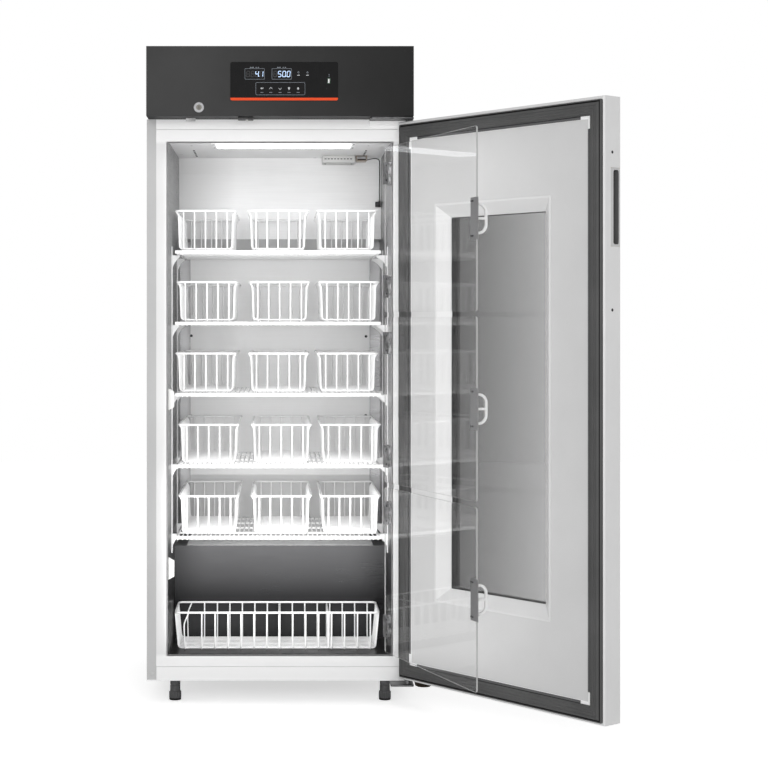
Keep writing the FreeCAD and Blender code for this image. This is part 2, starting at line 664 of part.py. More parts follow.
def baskets():
    for row, top in enumerate(SHELF_TOPS):
        for column, middle in enumerate(BASKET_COLUMNS):
            x = SHELF_MIDDLE + middle + BASKET_ROW_SHIFT[row]
            z = top + REST_GAP
            pieces = basket(x - BASKET_WIDTH / 2, x + BASKET_WIDTH / 2, BASKET_FRONT, BASKET_FRONT + BASKET_DEPTH,
                            z, z + BASKET_HEIGHT, WALL_WIRE_PITCH)
            save(f"basket_{row + 1}_{column + 1}", *pieces)
    z = CHAMBER_FLOOR + REST_GAP
    pieces = basket(WIDE_LEFT, WIDE_RIGHT, WIDE_FRONT, WIDE_BACK, z, z + WIDE_HEIGHT,
                    WIDE_WIRE_PITCH, DIVIDER_PLACES)
    save("wide_basket", *pieces)


def lamp_and_sensor():
    rect = (LAMP_MIDDLE - LAMP_LENGTH / 2, LAMP_MIDDLE + LAMP_LENGTH / 2,
            CHAMBER_CEILING - LAMP_THICK, CHAMBER_CEILING)
    body = slab(rect, LAMP_FRONT, LAMP_FRONT + LAMP_DEPTH)
    lower = [e for e in body.Edges if e.BoundBox.ZMax < rect[2] + 0.01]
    save("ceiling_lamp", body.makeChamfer(LAMP_THICK / 2, lower))
    right = HALF_OPENING - SENSOR_INSET + SENSOR_SIZE / 2
    front = DUCT_FRONT - SENSOR_SIZE
    block = box(right - SENSOR_SIZE, right, front, DUCT_FRONT, SENSOR_TOP - SENSOR_SIZE, SENSOR_TOP)
    block = block.makeFillet(1.5, [e for e in block.Edges if e.BoundBox.YMax < front + 0.01])
    lead = box(right - SENSOR_LEAD, right, DUCT_FRONT - SENSOR_LEAD, DUCT_FRONT, SENSOR_TOP, COVER_BREAK)
    save("air_sensor", block, lead)


def door_rectangles():
    outer = (-HALF_DOOR, HALF_DOOR, DOOR_BOTTOM, DOOR_TOP)
    bezel = (BEZEL_LEFT, BEZEL_RIGHT, BEZEL_BOTTOM, BEZEL_TOP)
    sight = inset(bezel, BEZEL_WIDTH)
    pocket = inset(sight, -GLASS_LAP)
    return outer, bezel, sight, pocket


def door_block(shrink):
    outer, _, _, _ = door_rectangles()
    block = slab(inset(outer, shrink), DOOR_OUTER + shrink, DOOR_INNER - shrink)
    rim = [e for e in block.Edges if e.BoundBox.YMin > DOOR_INNER - shrink - 0.01]
    block = block.makeFillet(DOOR_EDGE_ROUND - shrink, rim)
    face = [e for e in block.Edges if e.BoundBox.YMax < DOOR_OUTER + shrink + 0.01]
    return block.makeFillet(max(DOOR_FACE_ROUND - shrink, 0.3), face)


def hinge_bores():
    low = rod(PIN_RADIUS + PIN_GAP, V(DOOR_HINGE_X, DOOR_HINGE_Y, DOOR_BOTTOM), UP, PIN_REACH + 1)
    high = rod(PIN_RADIUS + PIN_GAP, V(DOOR_HINGE_X, DOOR_HINGE_Y, DOOR_TOP), V(0, 0, -1), PIN_REACH + 1)
    return [low, high]


def bolt_socket():
    c = BOLT_CLEARANCE
    low = CASE_TOP - BOLT_HANG - BOLT_TRAVEL - c
    return box(BOLT_LEFT - c, BOLT_LEFT + BOLT_WIDTH + c, BOLT_FRONT - c, BOLT_FRONT + BOLT_THICK + c, low, DOOR_TOP)


def grip_flange(gap=0.0):
    x = -HALF_DOOR
    return box(x, x + GRIP_FLANGE_THICK, GRIP_FLANGE_FAR - gap, GRIP_FLANGE_NEAR + gap,
               GRIP_BOTTOM - gap, GRIP_BOTTOM + GRIP_HEIGHT + gap)


def grip_cup(gap=0.0):
    x = -HALF_DOOR
    edge = GRIP_SLOT_END - GRIP_WALL - gap
    near, far = GRIP_SLOT_NEAR + GRIP_WALL + gap, max(GRIP_SLOT_FAR - GRIP_WALL - gap, DOOR_OUTER + SHEET)
    return box(x + GRIP_FLANGE_THICK, x + GRIP_DEPTH + GRIP_WALL + gap, far, near,
               GRIP_BOTTOM + edge, GRIP_BOTTOM + GRIP_HEIGHT - edge)


def grip_pocket():
    x = -HALF_DOOR
    return box(x, x + GRIP_DEPTH, GRIP_SLOT_FAR, GRIP_SLOT_NEAR,
               GRIP_BOTTOM + GRIP_SLOT_END, GRIP_BOTTOM + GRIP_HEIGHT - GRIP_SLOT_END)


def outer_door():
    outer, bezel, sight, pocket = door_rectangles()
    lip = inset(outer, DOOR_LIP)
    cuts = hinge_bores() + [bolt_socket(), grip_flange(FIT_GAP), grip_cup(FIT_GAP)]

    shell = door_block(0).cut(door_block(SHEET))
    shell = shell.cut(slab(lip, DOOR_INNER - SHEET, DOOR_INNER))
    window = inset(sight, -SHEET)
    shell = shell.cut(slab(window, DOOR_OUTER, DOOR_OUTER + SHEET))
    reveal = slab(window, DOOR_OUTER, GLASS_FRONT).cut(slab(sight, DOOR_OUTER, GLASS_FRONT))
    shell = shell.fuse(reveal)
    for cut in cuts:
        shell = shell.cut(cut)
    wedges = bars(inset(outer, -DOOR_LIP), sight, DOOR_OUTER - 1, DOOR_INNER + 1)
    skin = [shell.common(wedge) for wedge in wedges]
    save("door_skin", *[outer_swing(s) for piece in skin for s in piece.Solids])

    fill = door_block(SHEET).cut(slab(pocket, DOOR_OUTER, GLASS_BACK)).cut(slab(bezel, GLASS_BACK, DOOR_INNER))
    fill = fill.cut(slab(lip, DOOR_INNER - SHEET - 0.01, DOOR_INNER))
    for cut in cuts:
        fill = fill.cut(cut)
    save("door_foam", outer_swing(fill.Solids[0]))

    save("door_liner", *[outer_swing(s) for s in bars(lip, bezel, DOOR_INNER - SHEET, DOOR_INNER)])

    seal = (GASKET_FREE, GASKET_HINGE, GASKET_BOTTOM, GASKET_TOP)
    strips = bars(seal, inset(seal, GASKET_WIDTH), DOOR_INNER, -GASKET_GAP)
    save("door_gasket", *[outer_swing(s) for s in strips])

    save("window_bezel", *[outer_swing(s) for s in bezel_bars(bezel, sight)])
    save("glazing_unit", *[outer_swing(s) for s in glazing(pocket)])
    insert = grip_flange().fuse(grip_cup()).cut(grip_pocket())
    save("door_handle_insert", outer_swing(insert))
    cap_y = DOOR_INNER - DOOR_THICK / 2
    cap = rod(CLOSER_CAP_RADIUS, V(DOOR_HINGE_X - CLOSER_CAP_FROM_HINGE, cap_y, DOOR_BOTTOM),
              V(0, 0, -1), CLOSER_CAP_HEIGHT)
    cap = cap.makeFillet(4, [e for e in cap.Edges if e.BoundBox.ZMax < DOOR_BOTTOM - CLOSER_CAP_HEIGHT + 0.01])
    save("door_closer_cap", outer_swing(cap))


def bezel_bars(bezel, sight):
    # a sloping picture frame: section points are (inwards from the outer edge, depth)
    w, d, t, lip = BEZEL_WIDTH, BEZEL_DEPTH, BEZEL_WALL, BEZEL_LIP
    section = ((0, 0), (lip, 0), (w, d - t), (w, d), (w - t, d), (lip - t, t), (0, t))
    x0, x1, z0, z1 = bezel
    wedges = bars(bezel, sight, GLASS_BACK - 1, DOOR_INNER + 1)
    runs = []
    for n, wedge in enumerate(wedges):
        if n == 0:
            points, way = [V(x0, DOOR_INNER - y, z0 + a) for a, y in section], V(x1 - x0, 0, 0)
        elif n == 1:
            points, way = [V(x1 - a, DOOR_INNER - y, z0) for a, y in section], V(0, 0, z1 - z0)
        elif n == 2:
            points, way = [V(x0, DOOR_INNER - y, z1 - a) for a, y in section], V(x1 - x0, 0, 0)
        else:
            points, way = [V(x0 + a, DOOR_INNER - y, z0) for a, y in section], V(0, 0, z1 - z0)
        runs.append(prism(points, way).common(wedge).Solids[0])
    return runs


def glazing(pocket):
    unit = inset(pocket, FIT_GAP)
    back = slab(unit, GLASS_BACK - PANE, GLASS_BACK)
    front = slab(unit, GLASS_FRONT, GLASS_FRONT + PANE)
    ring = bars(unit, inset(unit, SPACER_WIDTH), GLASS_FRONT + PANE, GLASS_BACK - PANE)
    return [back, front] + ring


def inner_bottom(n):
    return INNER_BOTTOM + INNER_PITCH * n


def hinge_places(n):
    low = inner_bottom(n)
    return [low + HINGE_FROM_END, low + INNER_HEIGHT - HINGE_FROM_END]


def inner_doors():
    for n in range(INNER_COUNT):
        low = inner_bottom(n)
        rectangle = (INNER_FREE, INNER_HINGE_X - INNER_EDGE_GAP, low, low + INNER_HEIGHT)
        panel = rounded_plate(rectangle, INNER_CORNER, INNER_FRONT, INNER_BACK)
        save(f"inner_door_{n + 1}", inner_swing(panel))
        middle = low + INNER_HEIGHT / 2
        pieces = [handle(middle), strike(middle)] + [moving_leaf(z) for z in hinge_places(n)]
        save(f"inner_door_fittings_{n + 1}", *[inner_swing(p) for p in pieces])


def handle(middle):
    # a plate on the front of the door with two finger loops standing out from it
    x0 = INNER_FREE + 1
    top = INNER_FRONT - HANDLE_PLATE_THICK
    plate = box(x0, x0 + HANDLE_PLATE_WIDTH, top, INNER_FRONT,
                middle - HANDLE_PLATE_HEIGHT / 2, middle + HANDLE_PLATE_HEIGHT / 2)
    tip = INNER_FRONT - HANDLE_REACH
    half = HANDLE_HEIGHT / 2
    bx0, bx1 = x0 + 4, x0 + 4 + HANDLE_THICK
    body = box(bx0, bx1, tip, top, middle - half, middle + half)
    ends = [e for e in body.Edges if e.BoundBox.YMax < tip + 0.01 and e.BoundBox.ZLength < 0.01]
    body = body.makeFillet(HANDLE_ROUND, ends)
    band = HANDLE_BAND
    loop = (HANDLE_HEIGHT - 3 * band) / 2
    for z in (middle + band / 2, middle - band / 2 - loop):
        hole = box(bx0, bx1, tip + band, top, z, z + loop)
        outer_end = z + loop if z > middle else z
        round_edges = [e for e in hole.Edges if e.BoundBox.YMax < tip + band + 0.01 and e.BoundBox.ZLength < 0.01
                       and abs(e.BoundBox.ZMin - outer_end) < 0.01]
        hole = hole.makeFillet(HANDLE_ROUND - band, round_edges)
        body = body.cut(hole)
    return plate.fuse(body).removeSplitter().Solids[0]


def strike(middle):
    x0 = INNER_FREE - STRIKE_OVERHANG
    half = HANDLE_PLATE_HEIGHT / 2
    return box(x0, x0 + STRIKE_WIDTH, INNER_BACK, INNER_BACK + LEAF_THICK, middle - half, middle + half)


def moving_leaf(z):
    # two end knuckles round the pin, with a leaf on the back of the panel
    half = KNUCKLE_LENGTH / 2
    third = KNUCKLE_LENGTH / 3
    axis = V(INNER_HINGE_X, INNER_HINGE_Y, z - half)
    edge = INNER_HINGE_X - INNER_EDGE_GAP
    body = box(edge - LEAF_LENGTH, INNER_HINGE_X, INNER_BACK, INNER_BACK + LEAF_THICK, z - half, z + half)
    body = body.fuse(rod(KNUCKLE_RADIUS, axis, UP, KNUCKLE_LENGTH))
    reach = KNUCKLE_RADIUS + KNUCKLE_GAP
    gap = box(INNER_HINGE_X - reach, INNER_HINGE_X + reach, INNER_HINGE_Y - reach, INNER_HINGE_Y + reach,
              z - third / 2 - KNUCKLE_GAP, z + third / 2 + KNUCKLE_GAP)
    bore = rod(HINGE_PIN_RADIUS + PIN_GAP, axis, UP, KNUCKLE_LENGTH)
    return body.cut(gap).cut(bore).Solids[0]


def fixed_leaf(z):
    # a post on the wall with the middle knuckle and the pin
    half = KNUCKLE_LENGTH / 2
    third = KNUCKLE_LENGTH / 3
    post = box(POST_INNER, HALF_OPENING, POST_FRONT, POST_BACK, z - half, z + half)
    web = box(INNER_HINGE_X, POST_INNER, INNER_HINGE_Y - KNUCKLE_RADIUS, INNER_HINGE_Y + KNUCKLE_RADIUS,
              z - third / 2, z + third / 2)
    knuckle = rod(KNUCKLE_RADIUS, V(INNER_HINGE_X, INNER_HINGE_Y, z - third / 2), UP, third)
    pin = rod(HINGE_PIN_RADIUS, V(INNER_HINGE_X, INNER_HINGE_Y, z - half), UP, KNUCKLE_LENGTH)
    return post.fuse([web, knuckle, pin]).removeSplitter().Solids[0]


def inner_door_hardware():
    save("inner_hinge_posts", *[fixed_leaf(z) for n in range(INNER_COUNT) for z in hinge_places(n)])
    pieces = []
    wall = -HALF_OPENING
    front = INNER_BACK + LEAF_THICK + CATCH_GAP
    for n in range(CATCH_DOORS):
        middle = inner_bottom(n) + INNER_HEIGHT / 2
        half = CATCH_HEIGHT / 2
        outline = [V(wall, front, middle - half), V(wall + CATCH_PROUD, front, middle - half + CATCH_CHAMFER),
                   V(wall + CATCH_PROUD, front, middle + half - CATCH_CHAMFER), V(wall, front, middle + half)]
        pieces.append(prism(outline, V(0, CATCH_DEPTH, 0)))
    save("inner_door_catches", *pieces)


def hinge_brackets():
    # the lower plate is under the cabinet, the upper one under the housing, each with its pin
    plate_top = CASE_BOTTOM
    low = box(BRACKET_INNER, BRACKET_OUTER, BRACKET_FRONT, BRACKET_BACK, plate_top - BRACKET_PLATE, plate_top)
    low = low.makeFillet(6, [e for e in low.Edges if e.BoundBox.YMax < BRACKET_FRONT + 0.01 and e.BoundBox.ZLength > 1])
    spacer = rod(SPACER_RADIUS, V(DOOR_HINGE_X, DOOR_HINGE_Y, plate_top), UP, DOOR_BOTTOM - plate_top - REST_GAP)
    pin = rod(PIN_RADIUS, V(DOOR_HINGE_X, DOOR_HINGE_Y, plate_top), UP, DOOR_BOTTOM + PIN_REACH - plate_top)
    lower = low.fuse([spacer, pin]).removeSplitter().Solids[0]
    under = CASE_TOP - BRACKET_PLATE
    high = box(TOP_BRACKET_INNER, BRACKET_OUTER - FIT_GAP, BRACKET_FRONT, 0, under, CASE_TOP)
    high = high.makeFillet(6, [e for e in high.Edges if e.BoundBox.YMax < BRACKET_FRONT + 0.01 and e.BoundBox.ZLength > 1])
    flange = box(TOP_BRACKET_INNER, BRACKET_OUTER - FIT_GAP, -BRACKET_PLATE / 2, 0, CASE_TOP - TOP_BRACKET_DROP, under)
    top_pin = rod(PIN_RADIUS, V(DOOR_HINGE_X, DOOR_HINGE_Y, DOOR_TOP - PIN_REACH), UP, under - DOOR_TOP + PIN_REACH)
    upper = high.fuse([flange, top_pin]).removeSplitter().Solids[0]
    heads = [rod(SCREW_HEAD_RADIUS, V(x, BRACKET_BACK - SCREW_INSET, plate_top - BRACKET_PLATE), V(0, 0, -1), SCREW_HEAD)
             for x in (BRACKET_INNER + SCREW_INSET, BRACKET_OUTER - SCREW_INSET)]
    save("door_hinge_brackets", lower, upper, *heads)


def display_windows():
    lefts = [PANEL_LEFT + along for along in WINDOW_SETS]
    return [(left, left + WINDOW_WIDTH, WINDOW_BOTTOM, WINDOW_BOTTOM + WINDOW_HEIGHT) for left in lefts]


def usb_mouth():
    return (USB_X - USB_WIDTH / 2, USB_X + USB_WIDTH / 2, USB_Z - USB_HEIGHT / 2, USB_Z + USB_HEIGHT / 2)


def housing():
    t = HOUSING_SHEET
    w = HALF_HOUSING
    front = HOUSING_FRONT
    holes = display_windows() + [usb_mouth()]
    face = plate_xz(-w, w, CASE_TOP, HOUSING_TOP, front, front + t, holes)
    face = face.cut(rod(LOCK_BODY_RADIUS + FIT_GAP, V(LOCK_X, front, LOCK_Z), BACK, t))
    c = BOLT_CLEARANCE / 2
    floor = box(-w, w, front + t, 0, CASE_TOP, CASE_TOP + t)
    floor = floor.cut(box(BOLT_LEFT - c, BOLT_LEFT + BOLT_WIDTH + c, BOLT_FRONT - c, BOLT_FRONT + BOLT_THICK + c,
                          CASE_TOP, CASE_TOP + t))
    g = PLUNGER_GAP
    floor = floor.cut(box(PLUNGER_LEFT - g, PLUNGER_LEFT + PLUNGER_WIDTH + g, plunger_front() - g,
                          plunger_front() + PLUNGER_DEPTH + g, CASE_TOP, CASE_TOP + t))
    roof = box(-w, w, front + t, CASE_DEPTH - t, HOUSING_TOP - t, HOUSING_TOP)
    sides = [box(min(s * w, s * (w - t)), max(s * w, s * (w - t)), front + t, CASE_DEPTH - t,
                 CASE_TOP, HOUSING_TOP - t) for s in (-1, 1)]
    floor = floor.common(box(-w + t, w - t, front, 0, CASE_TOP, CASE_TOP + t))
    slots = [(-w + GRILLE_MARGIN * 2, w - GRILLE_MARGIN * 2, z, z + GRILLE_SLOT)
             for z in spaced(CASE_TOP + GRILLE_MARGIN, HOUSING_TOP - GRILLE_MARGIN, GRILLE_PITCH * 2)]
    rear = plate_xz(-w, w, CASE_TOP, HOUSING_TOP, CASE_DEPTH - t, CASE_DEPTH, slots)
    save("top_housing", face, floor, roof, *sides, rear)


def controls():
    front = HOUSING_FRONT - PANEL_THICK
    panel = rounded_plate((PANEL_LEFT, PANEL_RIGHT, PANEL_BOTTOM, PANEL_TOP), PANEL_CORNER, front, HOUSING_FRONT)
    for hole in display_windows() + [usb_mouth()]:
        panel = panel.cut(slab(hole, front, HOUSING_FRONT))
    save("control_panel", panel)
    board_front = HOUSING_FRONT + HOUSING_SHEET + BOARD_STANDOFF
    board = slab(inset((PANEL_LEFT, PANEL_RIGHT, PANEL_BOTTOM, PANEL_TOP), 4), board_front, board_front + BOARD_THICK)
    modules = [slab(inset(w, FIT_GAP), front + WINDOW_RECESS, board_front) for w in display_windows()]
    port = slab(inset(usb_mouth(), FIT_GAP), front + WINDOW_RECESS, board_front)
    port = port.cut(slab(inset(usb_mouth(), FIT_GAP + USB_WALL), front, board_front - USB_FLOOR))
    hole_x0, hole_x1 = PANEL_LEFT + 8, PANEL_LEFT + 16
    posts = [box(x0, x1, HOUSING_FRONT + HOUSING_SHEET, board_front, z, z + 8)
             for x0, x1 in ((hole_x0, hole_x1), (PANEL_RIGHT - 16, PANEL_RIGHT - 8))
             for z in (PANEL_BOTTOM + 8, PANEL_TOP - 16)]
    save("display_board", board, *modules, port, *posts)


def lock():
    face = HOUSING_FRONT - LOCK_PROUD
    body = rod(LOCK_RADIUS, V(LOCK_X, face, LOCK_Z), BACK, LOCK_PROUD)
    body = body.makeChamfer(0.8, [e for e in body.Edges if e.BoundBox.YMax < face + 0.01])
    body = body.fuse(rod(LOCK_BODY_RADIUS, V(LOCK_X, HOUSING_FRONT, LOCK_Z), BACK, LOCK_LENGTH))
    body = body.cut(rod(LOCK_PLUG_RADIUS + LOCK_PLUG_GAP, V(LOCK_X, face, LOCK_Z), BACK, LOCK_LENGTH + LOCK_PROUD))
    save("lock_barrel", body.removeSplitter())
    # the plug turns a crank whose pin runs in a slot of the bolt: a quarter turn drops the bolt
    start = face + REST_GAP
    tail = HOUSING_FRONT + LOCK_LENGTH
    plug = rod(LOCK_PLUG_RADIUS, V(LOCK_X, start, LOCK_Z), BACK, tail - start)
    key = box(LOCK_X - KEY_SLOT / 2, LOCK_X + KEY_SLOT / 2, start, start + LOCK_PLUG_RADIUS,
              LOCK_Z - LOCK_PLUG_RADIUS * 0.7, LOCK_Z + LOCK_PLUG_RADIUS * 0.7)
    crank_back = BOLT_FRONT - CRANK_GAP
    shaft = rod(TAIL_RADIUS, V(LOCK_X, tail, LOCK_Z), BACK, crank_back - tail)
    half = BOLT_TRAVEL / 2
    reach = half * math.sqrt(2)
    arm = box(LOCK_X - reach - CRANK_PIN_RADIUS, LOCK_X, crank_back - CRANK_THICK, crank_back,
              LOCK_Z - TAIL_RADIUS, LOCK_Z + TAIL_RADIUS)
    arm.rotate(V(LOCK_X, 0, LOCK_Z), BACK, 45)
    pin_x, pin_z = LOCK_X - half, LOCK_Z + half
    pin = rod(CRANK_PIN_RADIUS, V(pin_x, crank_back, pin_z), BACK, BOLT_THICK + CRANK_GAP)
    save("lock_plug", plug.cut(key).fuse([shaft, arm, pin]).removeSplitter().Solids[0])
    bolt = box(BOLT_LEFT, BOLT_LEFT + BOLT_WIDTH, BOLT_FRONT, BOLT_FRONT + BOLT_THICK,
               CASE_TOP - BOLT_HANG, pin_z + EAR_HALF)
    ear = box(BOLT_LEFT + BOLT_WIDTH, EAR_TIP, BOLT_FRONT, BOLT_FRONT + BOLT_THICK, pin_z - EAR_HALF, pin_z + EAR_HALF)
    play = CRANK_PIN_RADIUS + CRANK_PIN_PLAY
    slot = box(LOCK_X - reach - play, pin_x + play, BOLT_FRONT, BOLT_FRONT + BOLT_THICK, pin_z - play, pin_z + play)
    save("lock_bolt", bolt.fuse(ear).removeSplitter().cut(slot).Solids[0])


def plunger_front():
    return SWITCH_FRONT + (SWITCH_DEPTH - PLUNGER_DEPTH) / 2


def door_switch():
    low = CASE_TOP - SWITCH_HANG
    block = box(SWITCH_LEFT, SWITCH_LEFT + SWITCH_WIDTH, SWITCH_FRONT, SWITCH_FRONT + SWITCH_DEPTH, low, CASE_TOP)
    g = PLUNGER_GAP
    y0, y1 = plunger_front(), plunger_front() + PLUNGER_DEPTH
    x0, x1 = PLUNGER_LEFT, PLUNGER_LEFT + PLUNGER_WIDTH
    save("door_switch", block.cut(box(x0 - g, x1 + g, y0 - g, y1 + g, low, CASE_TOP)))
    tip = CASE_TOP - PLUNGER_HANG
    pin = box(x0, x1, y0, y1, tip, CASE_TOP + PLUNGER_TRAVEL)
    pin = pin.makeFillet(PLUNGER_WIDTH / 3, [e for e in pin.Edges if e.BoundBox.ZMax < tip + 0.01])
    save("switch_plunger", pin)


def feet():
    pieces = []
    for x in (-FOOT_HALF_SPREAD, FOOT_HALF_SPREAD):
        for y in (FOOT_FRONT, FOOT_REAR):
            collar = rod(COLLAR_RADIUS, V(x, y, 0), UP, COLLAR_HEIGHT)
            collar = collar.makeChamfer(2, [e for e in collar.Edges if e.BoundBox.ZMin > COLLAR_HEIGHT - 0.01])
            tube = rod(FOOT_RADIUS, V(x, y, COLLAR_HEIGHT), UP, CASE_BOTTOM - COLLAR_HEIGHT)
            pieces.append(collar.fuse(tube).removeSplitter().Solids[0])
    save("levelling_feet", *pieces)


def compressor():
    y = (COMPARTMENT_FRONT + CASE_DEPTH) / 2
    base = PAN_TOP + 18
    can = rod(COMPRESSOR_RADIUS, V(COMPRESSOR_X, y, base), UP, COMPRESSOR_HEIGHT)
    can = can.makeFillet(COMPRESSOR_RADIUS * 0.6, [e for e in can.Edges if e.BoundBox.ZMin > base + 1])
    can = can.makeFillet(20, [e for e in can.Edges if e.BoundBox.ZMax < base + 0.01])
    foot = box(COMPRESSOR_X - 90, COMPRESSOR_X + 90, y - 30, y + 30, base - 4, base + 0.01)
    mounts = [rod(10, V(COMPRESSOR_X + dx, y + dy, PAN_TOP), UP, 14) for dx in (-78, 78) for dy in (-18, 18)]
    save("compressor", can.fuse([foot] + mounts).removeSplitter().Solids[0])


def coil(x0, z0, width, height, front):
    # tubes running across, through a row of upright fins
    back = front + COIL_DEPTH
    fins = [box(x, x + FIN_THICK, front, back, z0, z0 + height) for x in spaced(x0, x0 + width, FIN_PITCH)]
    y = (front + back) / 2
    step = height / COIL_TUBES
    tubes = [rod(COIL_TUBE_RADIUS, V(x0, y, z0 + step * (n + 0.5)), V(1, 0, 0), width) for n in range(COIL_TUBES)]
    return tubes[0].fuse(tubes[1:] + fins).Solids


def coils():
    evaporator = coil(-EVAPORATOR_WIDTH / 2, EVAPORATOR_BOTTOM, EVAPORATOR_WIDTH, EVAPORATOR_HEIGHT,
                      CHAMBER_BACK - COIL_DEPTH)
    condenser = coil(CONDENSER_LEFT, PAN_TOP, CONDENSER_WIDTH, CONDENSER_HEIGHT, CONDENSER_FRONT)
    save("refrigerant_coils", *evaporator, *condenser)


def fan(x, y, z, radius):
    # hub bored for its shaft, with pitched flat blades; the axis runs front to back
    hub = rod(FAN_HUB_RADIUS, V(x, y, z), BACK, FAN_DEPTH)
    blades = []
    for n in range(FAN_BLADES):
        blade = box(-radius * 0.2, radius * 0.2, -0.75, 0.75, FAN_HUB_RADIUS * 0.8, radius)
        blade.rotate(V(0, 0, 0), UP, 28)
        blade.rotate(V(0, 0, 0), BACK, 360.0 / FAN_BLADES * n)
        blade.translate(V(x, y + FAN_DEPTH / 2, z))
        blades.append(blade)
    solid = hub.fuse(blades).removeSplitter()
    return solid.cut(rod(SHAFT_RADIUS + SHAFT_GAP, V(x, y, z), BACK, FAN_DEPTH)).Solids[0]


def fan_motor(x, y, z):
    can = rod(FAN_HUB_RADIUS, V(x, y + FAN_DEPTH + REST_GAP, z), BACK, MOTOR_LENGTH)
    shaft = rod(SHAFT_RADIUS, V(x, y, z), BACK, FAN_DEPTH + REST_GAP)
    return can.fuse(shaft).removeSplitter().Solids[0]


def fan_places():
    small = (0, CHAMBER_BACK - FAN_DEPTH - MOTOR_LENGTH - REST_GAP, COVER_BOTTOM + SMALL_FAN_RADIUS + 14)
    large = (CONDENSER_LEFT + CONDENSER_WIDTH / 2, CASE_DEPTH - SHEET - FAN_DEPTH - MOTOR_LENGTH - 3,
             PAN_TOP + CONDENSER_HEIGHT / 2)
    return small, large


def fans():
    small, large = fan_places()
    save("evaporator_fan", fan(*small, SMALL_FAN_RADIUS))
    save("condenser_fan", fan(*large, FAN_RADIUS))
    rear = large[1] + FAN_DEPTH + REST_GAP + MOTOR_LENGTH
    motor = fan_motor(*large)
    arm = box(large[0] - FAN_RADIUS - 15, large[0] + FAN_RADIUS + 15, rear - 4, rear - 2, large[2] - 6, large[2] + 6)
    legs = [box(large[0] + s * (FAN_RADIUS + 15) - 2, large[0] + s * (FAN_RADIUS + 15) + 2,
                rear - 14, rear - 2, PAN_TOP, large[2] + 6) for s in (-1, 1)]
    held = motor.fuse([arm] + legs).removeSplitter().Solids[0]
    save("fan_motors", fan_motor(*small), held)


outer_case()
back_of_case()
foam()
liner()
front_frame()
air_path()
shelves()
baskets()
lamp_and_sensor()
outer_door()
inner_doors()
inner_door_hardware()
hinge_brackets()
housing()
controls()
lock()
door_switch()
feet()
compressor()
coils()
fans()
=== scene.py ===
import bpy
import bmesh
import math
from mathutils import Matrix, Vector


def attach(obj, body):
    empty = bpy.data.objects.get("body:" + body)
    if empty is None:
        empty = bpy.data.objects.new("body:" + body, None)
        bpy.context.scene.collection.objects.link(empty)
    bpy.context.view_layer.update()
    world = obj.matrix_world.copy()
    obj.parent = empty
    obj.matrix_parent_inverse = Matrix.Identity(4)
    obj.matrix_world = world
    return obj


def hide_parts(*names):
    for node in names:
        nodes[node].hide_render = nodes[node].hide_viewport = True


# Blood bank refrigerator. New pieces are shaped in the cabinet's own millimetres: x from its middle,
# y back from its front face, z up from the floor, with the doors shut. placeInFrame swings door
# pieces open and turns everything into metres.

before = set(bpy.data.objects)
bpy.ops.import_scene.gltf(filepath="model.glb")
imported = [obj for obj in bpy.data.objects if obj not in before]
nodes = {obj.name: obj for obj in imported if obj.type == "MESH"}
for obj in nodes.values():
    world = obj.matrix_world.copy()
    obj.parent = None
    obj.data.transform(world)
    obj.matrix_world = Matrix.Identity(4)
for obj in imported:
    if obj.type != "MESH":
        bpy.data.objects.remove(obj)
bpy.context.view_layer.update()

frontToOrigin = 300.0
outerSwing = {"x": 309.0, "y": -30.0, "degrees": 129.0}
innerSwing = {"x": 256.0, "y": 22.0, "degrees": 129.0 * 0.851}


# shared tools

def placeInFrame(bm, swing=None):
    if swing:
        turn = Matrix.Rotation(math.radians(swing["degrees"]), 3, "Z")
        bmesh.ops.rotate(bm, verts=bm.verts, cent=(swing["x"], swing["y"], 0), matrix=turn)
    bmesh.ops.translate(bm, verts=bm.verts, vec=(0, -frontToOrigin, 0))
    bmesh.ops.scale(bm, verts=bm.verts, vec=(0.001, 0.001, 0.001))


def makePiece(name, bm, body, materials, standsFor=(), swing=None, placed=False, sharp=21):
    if not placed:
        placeInFrame(bm, swing)
    mesh = bpy.data.meshes.new(name)
    bm.to_mesh(mesh)
    bm.free()
    mesh.shade_smooth()
    mesh.set_sharp_from_angle(angle=math.radians(sharp))
    for material in materials:
        mesh.materials.append(material)
    piece = bpy.data.objects.new(name, mesh)
    bpy.context.scene.collection.objects.link(piece)
    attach(piece, body)
    if standsFor:
        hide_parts(*standsFor)
    return piece


def addPart(bm, part, material=0, matrix=None):
    # moves a finished part into the piece's mesh
    if matrix:
        bmesh.ops.transform(part, matrix=matrix, verts=part.verts)
    for face in part.faces:
        face.material_index = material
    scratch = bpy.data.meshes.new("scratch")
    part.to_mesh(scratch)
    part.free()
    bm.from_mesh(scratch)
    bpy.data.meshes.remove(scratch)


def soften(bm, width, segments=2, angle=40):
    limit = math.radians(angle)
    edges = [e for e in bm.edges if len(e.link_faces) == 2 and e.calc_face_angle() > limit]
    if edges and width:
        bmesh.ops.bevel(bm, geom=edges, offset=width, segments=segments, profile=0.5, affect="EDGES",
                material=-1, clamp_overlap=True)


def block(x, y, z, soft=0.6, segments=2):
    # x, y and z are (low, high)
    part = bmesh.new()
    bmesh.ops.create_cube(part, size=1)
    bmesh.ops.scale(part, verts=part.verts, vec=(x[1] - x[0], y[1] - y[0], z[1] - z[0]))
    bmesh.ops.translate(part, verts=part.verts, vec=((x[0] + x[1]) / 2, (y[0] + y[1]) / 2, (z[0] + z[1]) / 2))
    soften(part, soft, segments)
    return part


def rectangle(x0, x1, z0, z1):
    return [(x0, z0), (x1, z0), (x1, z1), (x0, z1)]


